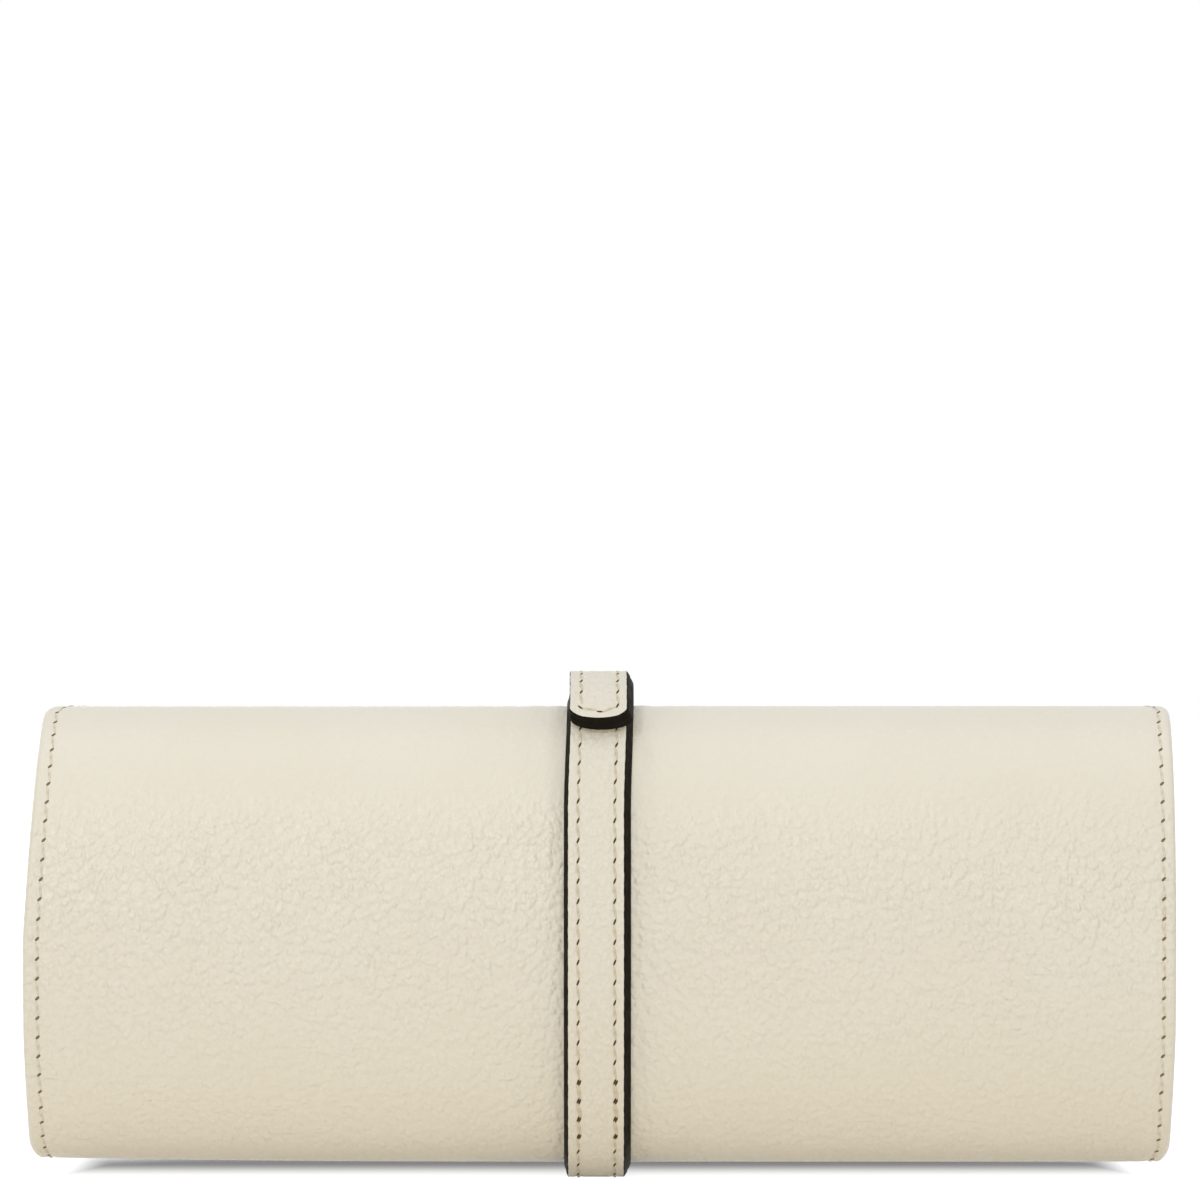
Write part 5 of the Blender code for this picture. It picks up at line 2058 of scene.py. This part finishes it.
@dataclass(frozen=True)
class RingRoll:
    """The padded ring roll: a stuffed suede sleeve, gathered at both ends, on its strip.

    Radius formula: the plain radius, times a dome at each end, less a neck near it,
    with gathers that fade away from the ends, and a seam along the side that lies on the strip.
    """

    neck_at: float = 6.5 * MM
    neck_depth: float = 0.55 * MM
    neck_width: float = 1.1 * MM
    dome_share: float = 0.75
    gathers: int = 14
    gather_depth: float = 0.30 * MM
    gather_fade: float = 9 * MM
    slack: float = 0.13 * MM
    slack_waves: tuple[float, float] = (7 * MM, 30 * MM)
    seam_depth: float = 0.45 * MM
    seam_width: float = 0.13
    sides: int = 64
    room: float = 0.1 * MM
    leather_rounding: float = 0.35 * MM

    def sleeve(self) -> Shell:
        """The roll's closed surface, in the box of its CAD node.

        Returns:
            The sleeve's shell.
        """
        low, high = (np.array(corner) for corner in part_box("ring_roll"))
        middle, half = (low + high) / 2, (high[0] - low[0]) / 2
        radius = (high[2] - low[2]) / 2 - self.room
        inner = 1 - np.geomspace(1, 0.004, 60)
        x = half * np.concatenate((-inner[::-1], inner[1:]))[:, None]
        angle = np.arange(self.sides) * math.tau / self.sides
        edge = half - np.abs(x)
        dome = np.sqrt(1 - np.clip(1 - edge / (radius * self.dome_share), 0, 1) ** 2)
        neck = np.exp(-((edge - self.neck_at) / self.neck_width) ** 2)
        near = np.exp(-edge / self.gather_fade) * dome
        folds = self.gather_depth * near * np.cos(self.gathers * angle + 0.6 * np.sin(3 * angle))
        short, long = self.slack_waves
        slack = self.slack * np.sin(x / short) * np.sin(2 * angle + x / long)
        away = (np.mod(angle - math.pi / 2 + math.pi, math.tau) - math.pi) / self.seam_width
        seam = self.seam_depth * np.exp(-away * away) * dome
        size = radius * dome - self.neck_depth * neck + (folds + slack) * (dome > 0.2) - seam
        points = np.stack(np.broadcast_arrays(middle[0] + x, middle[1] + size * np.cos(angle),
                                              middle[2] + size * np.sin(angle)), axis=-1)
        flat = np.stack(np.broadcast_arrays(x, angle * radius), axis=-1)
        ends = middle + np.array([(-half, 0.0, 0.0), (half, 0.0, 0.0)])
        faces = [face[:, ::-1] for face in capped(len(x), self.sides)]
        flat = np.concatenate((flat.reshape(-1, 2), np.zeros((2, 2))))
        return Shell.mapped(np.concatenate((points.reshape(-1, 3), ends)), flat, faces)

    def build(self) -> None:
        """Builds the sleeve and the leather that carries it."""
        made = piece(self.sleeve(), "ring_roll_padded", ROLL_SUEDE)
        on(Body.ROLL)(made)
        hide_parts("ring_roll")
        for name in ("ring_roll_strip", "ring_roll_anchor", "ring_snap_patch"):
            softened(name, f"{name}_leather", STRAP_CALF, self.leather_rounding)


def softened(name: str, made_name: str, finish: Finish, rounding: float,
             steps: int = 3) -> bpy.types.Object:
    """A copy of a CAD node with rounded edges and a flat map, in the node's place.

    Args:
        name: the CAD node.
        made_name: name of the new piece.
        finish: what it is made of.
        rounding: radius of its edges.
        steps: segments of the rounding.

    Returns:
        The piece, on the node's body.
    """
    mesh = frame["nodes"][name].data.copy()
    work = bmesh.new()
    work.from_mesh(mesh)
    bmesh.ops.remove_doubles(work, verts=work.verts, dist=0.002 * MM)
    bmesh.ops.dissolve_limit(work, angle_limit=math.radians(2), verts=work.verts, edges=work.edges)
    sharp = [e for e in work.edges if e.is_manifold and e.calc_face_angle(0) > math.radians(40)]
    bmesh.ops.bevel(work, geom=sharp, offset=rounding, segments=steps, profile=0.5,
                    affect="EDGES", clamp_overlap=True)
    bmesh.ops.triangulate(work, faces=[f for f in work.faces if len(f.verts) > 4])
    work.to_mesh(mesh)
    work.free()
    mesh.name = made_name
    mesh.materials.clear()
    mesh.materials.append(finish.material())
    places = np.zeros(len(mesh.vertices) * 3, np.float32)
    mesh.vertices.foreach_get("co", places)
    corner = np.zeros(len(mesh.loops), np.int32)
    mesh.loops.foreach_get("vertex_index", corner)
    layer = mesh.uv_layers.get(FLAT_MAP) or mesh.uv_layers.new(name=FLAT_MAP)
    layer.data.foreach_set("uv", places.reshape(-1, 3)[corner][:, (0, 2)].ravel())
    mesh.uv_layers.active = layer
    mesh.shade_smooth()
    mesh.set_sharp_from_angle(angle=SHARP_METAL)
    made = bpy.data.objects.new(made_name, mesh)
    bpy.context.scene.collection.objects.link(made)
    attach(made, body_of(frame["nodes"][name])[0])
    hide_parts(name)
    log.info("%s: %d points", made_name, len(mesh.vertices))
    return made


@dataclass(frozen=True)
class Lamp:
    """One softbox: its place, what it is aimed at, its size and its power."""

    name: str
    place: tuple[float, float, float]
    aim: tuple[float, float, float]
    size: tuple[float, float]
    power: float

    def build(self) -> None:
        """Adds the area light, turned to face its aim."""
        light = bpy.data.lights.new(self.name, "AREA")
        light.shape, light.size, light.size_y = "RECTANGLE", *self.size
        light.energy = self.power
        made = bpy.data.objects.new(self.name, light)
        bpy.context.scene.collection.objects.link(made)
        made.location = self.place
        gaze = np.array(self.aim) - np.array(self.place)
        yaw = math.atan2(gaze[1], gaze[0]) - math.pi / 2
        pitch = math.atan2(gaze[2], math.hypot(gaze[0], gaze[1])) + math.pi / 2
        made.rotation_euler = (pitch, 0.0, yaw)


@dataclass(frozen=True)
class Studio:
    """White studio: a floor that keeps the shadow, soft lamps and the photograph's camera.

    darkest_sky and lightest_sky are the shares of open sky where the floor's lift starts and
    ends, first at the grazing angle and then seen from higher up.
    """

    floor_half: float = 6.0
    world_strength: float = 0.67
    shade_reach: float = 90 * MM
    darkest_sky: tuple[float, float] = (0.68, 0.25)
    lightest_sky: tuple[float, float] = (0.96, 0.85)
    white_before: float = -8 * MM
    white_behind: float = 44 * MM
    white_until: tuple[float, float] = (-120 * MM, -85 * MM)
    white_ends: tuple[float, float] = (108 * MM, 121 * MM)
    grazing: tuple[float, float] = (0.09, 0.18)
    paper_colour: str = "#808083"
    paper_roughness: float = 0.9
    room_colour: str = "#fbfbfd"
    bounce_colour: str = "#fdf6ea"
    camera_place: tuple[float, float, float] = (0.0001, -1.8, 0.1266)
    lens: float = 245.7
    lamps: tuple[Lamp, ...] = (
        Lamp("overhead_softbox", (0.0, -0.35, 1.3), (0, 0, 0.08), (1.4, 0.8), 2.75),
        Lamp("front_left_softbox", (-0.50, -1.2, 0.74), (-0.04, 0, 0.07), (0.20, 0.12), 2.9),
        Lamp("front_fill", (0.50, -1.5, 0.04), (0.03, 0, 0.03), (1.0, 0.08), 1.15),
        Lamp("rear_fill", (-0.6, 1.7, 0.30), (0, 0, 0.05), (1.2, 0.4), 2.6),
    )

    def world(self) -> None:
        """Grey-white room light on the object, and plain white where the camera looks."""
        world = bpy.data.worlds.new("studio_white")
        world.use_nodes = True
        tree = world.node_tree
        tree.nodes.clear()
        room = node(tree, "Background", linear(self.room_colour), self.world_strength)
        white = node(tree, "Background", WHITE, 1.0)
        mix = node(tree, "MixShader", self.seen(tree), room, white)
        tree.links.new(mix, tree.nodes.new("ShaderNodeOutputWorld").inputs[0])
        bpy.context.scene.world = world

    def seen(self, tree: Tree) -> Socket:
        """1 for camera, glossy and transmission rays, which see the white background.

        Args:
            tree: the world's or the floor's nodes.

        Returns:
            The factor, 1 or 0.
        """
        found = node(tree, "LightPath", output="Is Camera Ray")
        for ray in ("Is Transmission Ray", "Is Glossy Ray"):
            found = node(tree, "Math", found, node(tree, "LightPath", output=ray), **MAXIMUM)
        return found

    def floor(self) -> None:
        """A matt table, lifted to pure white for the camera except in the object's shade."""
        corner = np.array([(x, y, 0.0) for y in (-1, 1) for x in (-1, 1)]) * self.floor_half
        shell = Shell.mapped(corner, corner[:, :2], [np.array([[0, 1, 3, 2]])])
        material = bpy.data.materials.new("table_matt_white")
        material.use_nodes = True
        tree = material.node_tree
        shader = tree.nodes["Principled BSDF"]
        shader.inputs["Base Color"].default_value = linear(self.paper_colour)
        shader.inputs["Roughness"].default_value = self.paper_roughness
        glow = node(tree, "Emission", WHITE, self.lift(tree))
        both = node(tree, "AddShader", shader.outputs[0], glow)
        dim = node(tree, "BsdfDiffuse", linear(self.bounce_colour))
        mix = node(tree, "MixShader", self.seen(tree), dim, both)
        tree.links.new(mix, tree.nodes["Material Output"].inputs[0])
        shell.to_object("table", [material])

    def lift(self, tree: Tree) -> Socket:
        """How far the table is lifted to white.

        The lift is painted light, held back as painted shade where the table sees little open sky.
        Seen at a grazing angle it is painted full in front of the case and past its ends, and a
        glossy ray sees it full everywhere.

        Args:
            tree: the table's nodes.

        Returns:
            The lift, 0 to 1.
        """
        place = node(tree, "TexCoord", output="Object")
        across, depth = (node(tree, "SeparateXYZ", place, output=axis) for axis in (0, 1))
        open_sky = node(tree, "AmbientOcclusion", output="AO", samples=16,
                        Distance=self.shade_reach)
        steepness = node(tree, "SeparateXYZ", node(tree, "NewGeometry", output="Incoming"),
                         output=2)
        darkest, lightest = (node(tree, "MapRange", steepness, *self.grazing, *ends, **SMOOTH)
                             for ends in (self.darkest_sky, self.lightest_sky))
        clear = node(tree, "MapRange", open_sky, darkest, lightest, **SMOOTH)
        # Painted light: the table is lifted to white in front of the case and past its ends.
        before = node(tree, "MapRange", depth, self.white_before, self.white_behind, 1.0, 0.0,
                      **SMOOTH)
        until = node(tree, "MapRange", depth, *self.white_until, **SMOOTH)
        beyond = node(tree, "MapRange", node(tree, "Math", across, **ABSOLUTE), *self.white_ends,
                      **SMOOTH)
        side = node(tree, "Math", node(tree, "Math", before, until, **MULTIPLY), beyond, **MAXIMUM)
        grazing = node(tree, "MapRange", steepness, *self.grazing, 1.0, 0.0, **SMOOTH)
        side = node(tree, "Math", side, grazing, **MULTIPLY)
        lit = node(tree, "Math", clear, side, **MAXIMUM)
        mirrored = node(tree, "LightPath", output="Is Glossy Ray")
        return node(tree, "Math", lit, mirrored, **MAXIMUM)

    def camera(self) -> None:
        """Level camera in front, at the photograph's height and angle of view."""
        data = bpy.data.cameras.new("front_camera")
        data.lens, data.sensor_width = self.lens, 36.0
        data.clip_start, data.clip_end = 0.01, 50.0
        made = bpy.data.objects.new("front_camera", data)
        made.location = self.camera_place
        made.rotation_euler = (math.pi / 2, 0.0, 0.0)
        bpy.context.scene.collection.objects.link(made)
        bpy.context.scene.camera = made

    def build(self) -> None:
        """Sets up the stage, the lamps and the camera."""
        bpy.context.scene.view_settings.view_transform = "Standard"
        self.world()
        self.floor()
        for lamp in self.lamps:
            lamp.build()
        self.camera()


@dataclass(frozen=True)
class Hardware:
    """Metal pieces: the CAD's own shapes with the rounded edges of castings and pressings."""

    brass: tuple[str, ...] = tuple(
        f"{side}_{part}" for side in ("back", "front")
        for part in ("zip_teeth_upper", "zip_teeth_lower", "zip_stop_top", "zip_stop_bottom",
                     "slider_body", "slider_base", "zip_puller"))
    nickel: tuple[str, ...] = ("clasp_plate", "tab_magnet", "ring_snap_cap", "ring_snap_stud")
    rounding: float = 0.14 * MM

    def build(self) -> None:
        """Rounds each CAD node's edges and gives it its finish."""
        for names, finish, word in ((self.brass, BRASS, "cast"), (self.nickel, NICKEL, "pressed")):
            for name in names:
                softened(name, f"{name}_{word}", finish, self.rounding, 2)


def corners(box: tuple[Sequence[float], Sequence[float]]) -> list[list[float]]:
    """A box's two corners as plain lists."""
    return [list(map(float, corner)) for corner in box]


def main() -> None:
    """Builds the case's looks on the CAD frame, from the outside in, and the studio round it."""
    logging.basicConfig(level=logging.INFO, format="%(name)s: %(message)s")
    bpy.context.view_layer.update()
    Studio().build()
    Wrap().build()
    Strap().build()
    ZipPocket("back", Body.BACK, FORM.middle - 10.8 * MM, -262.0, -120.0, up=-1).build()
    ZipPocket("front", Body.FRONT, FORM.middle + 1.2 * MM, FORM.fold_turn, 60.0, up=1).build()
    RingRoll().build()
    Hardware().build()


if __name__ == "__main__":
    main()
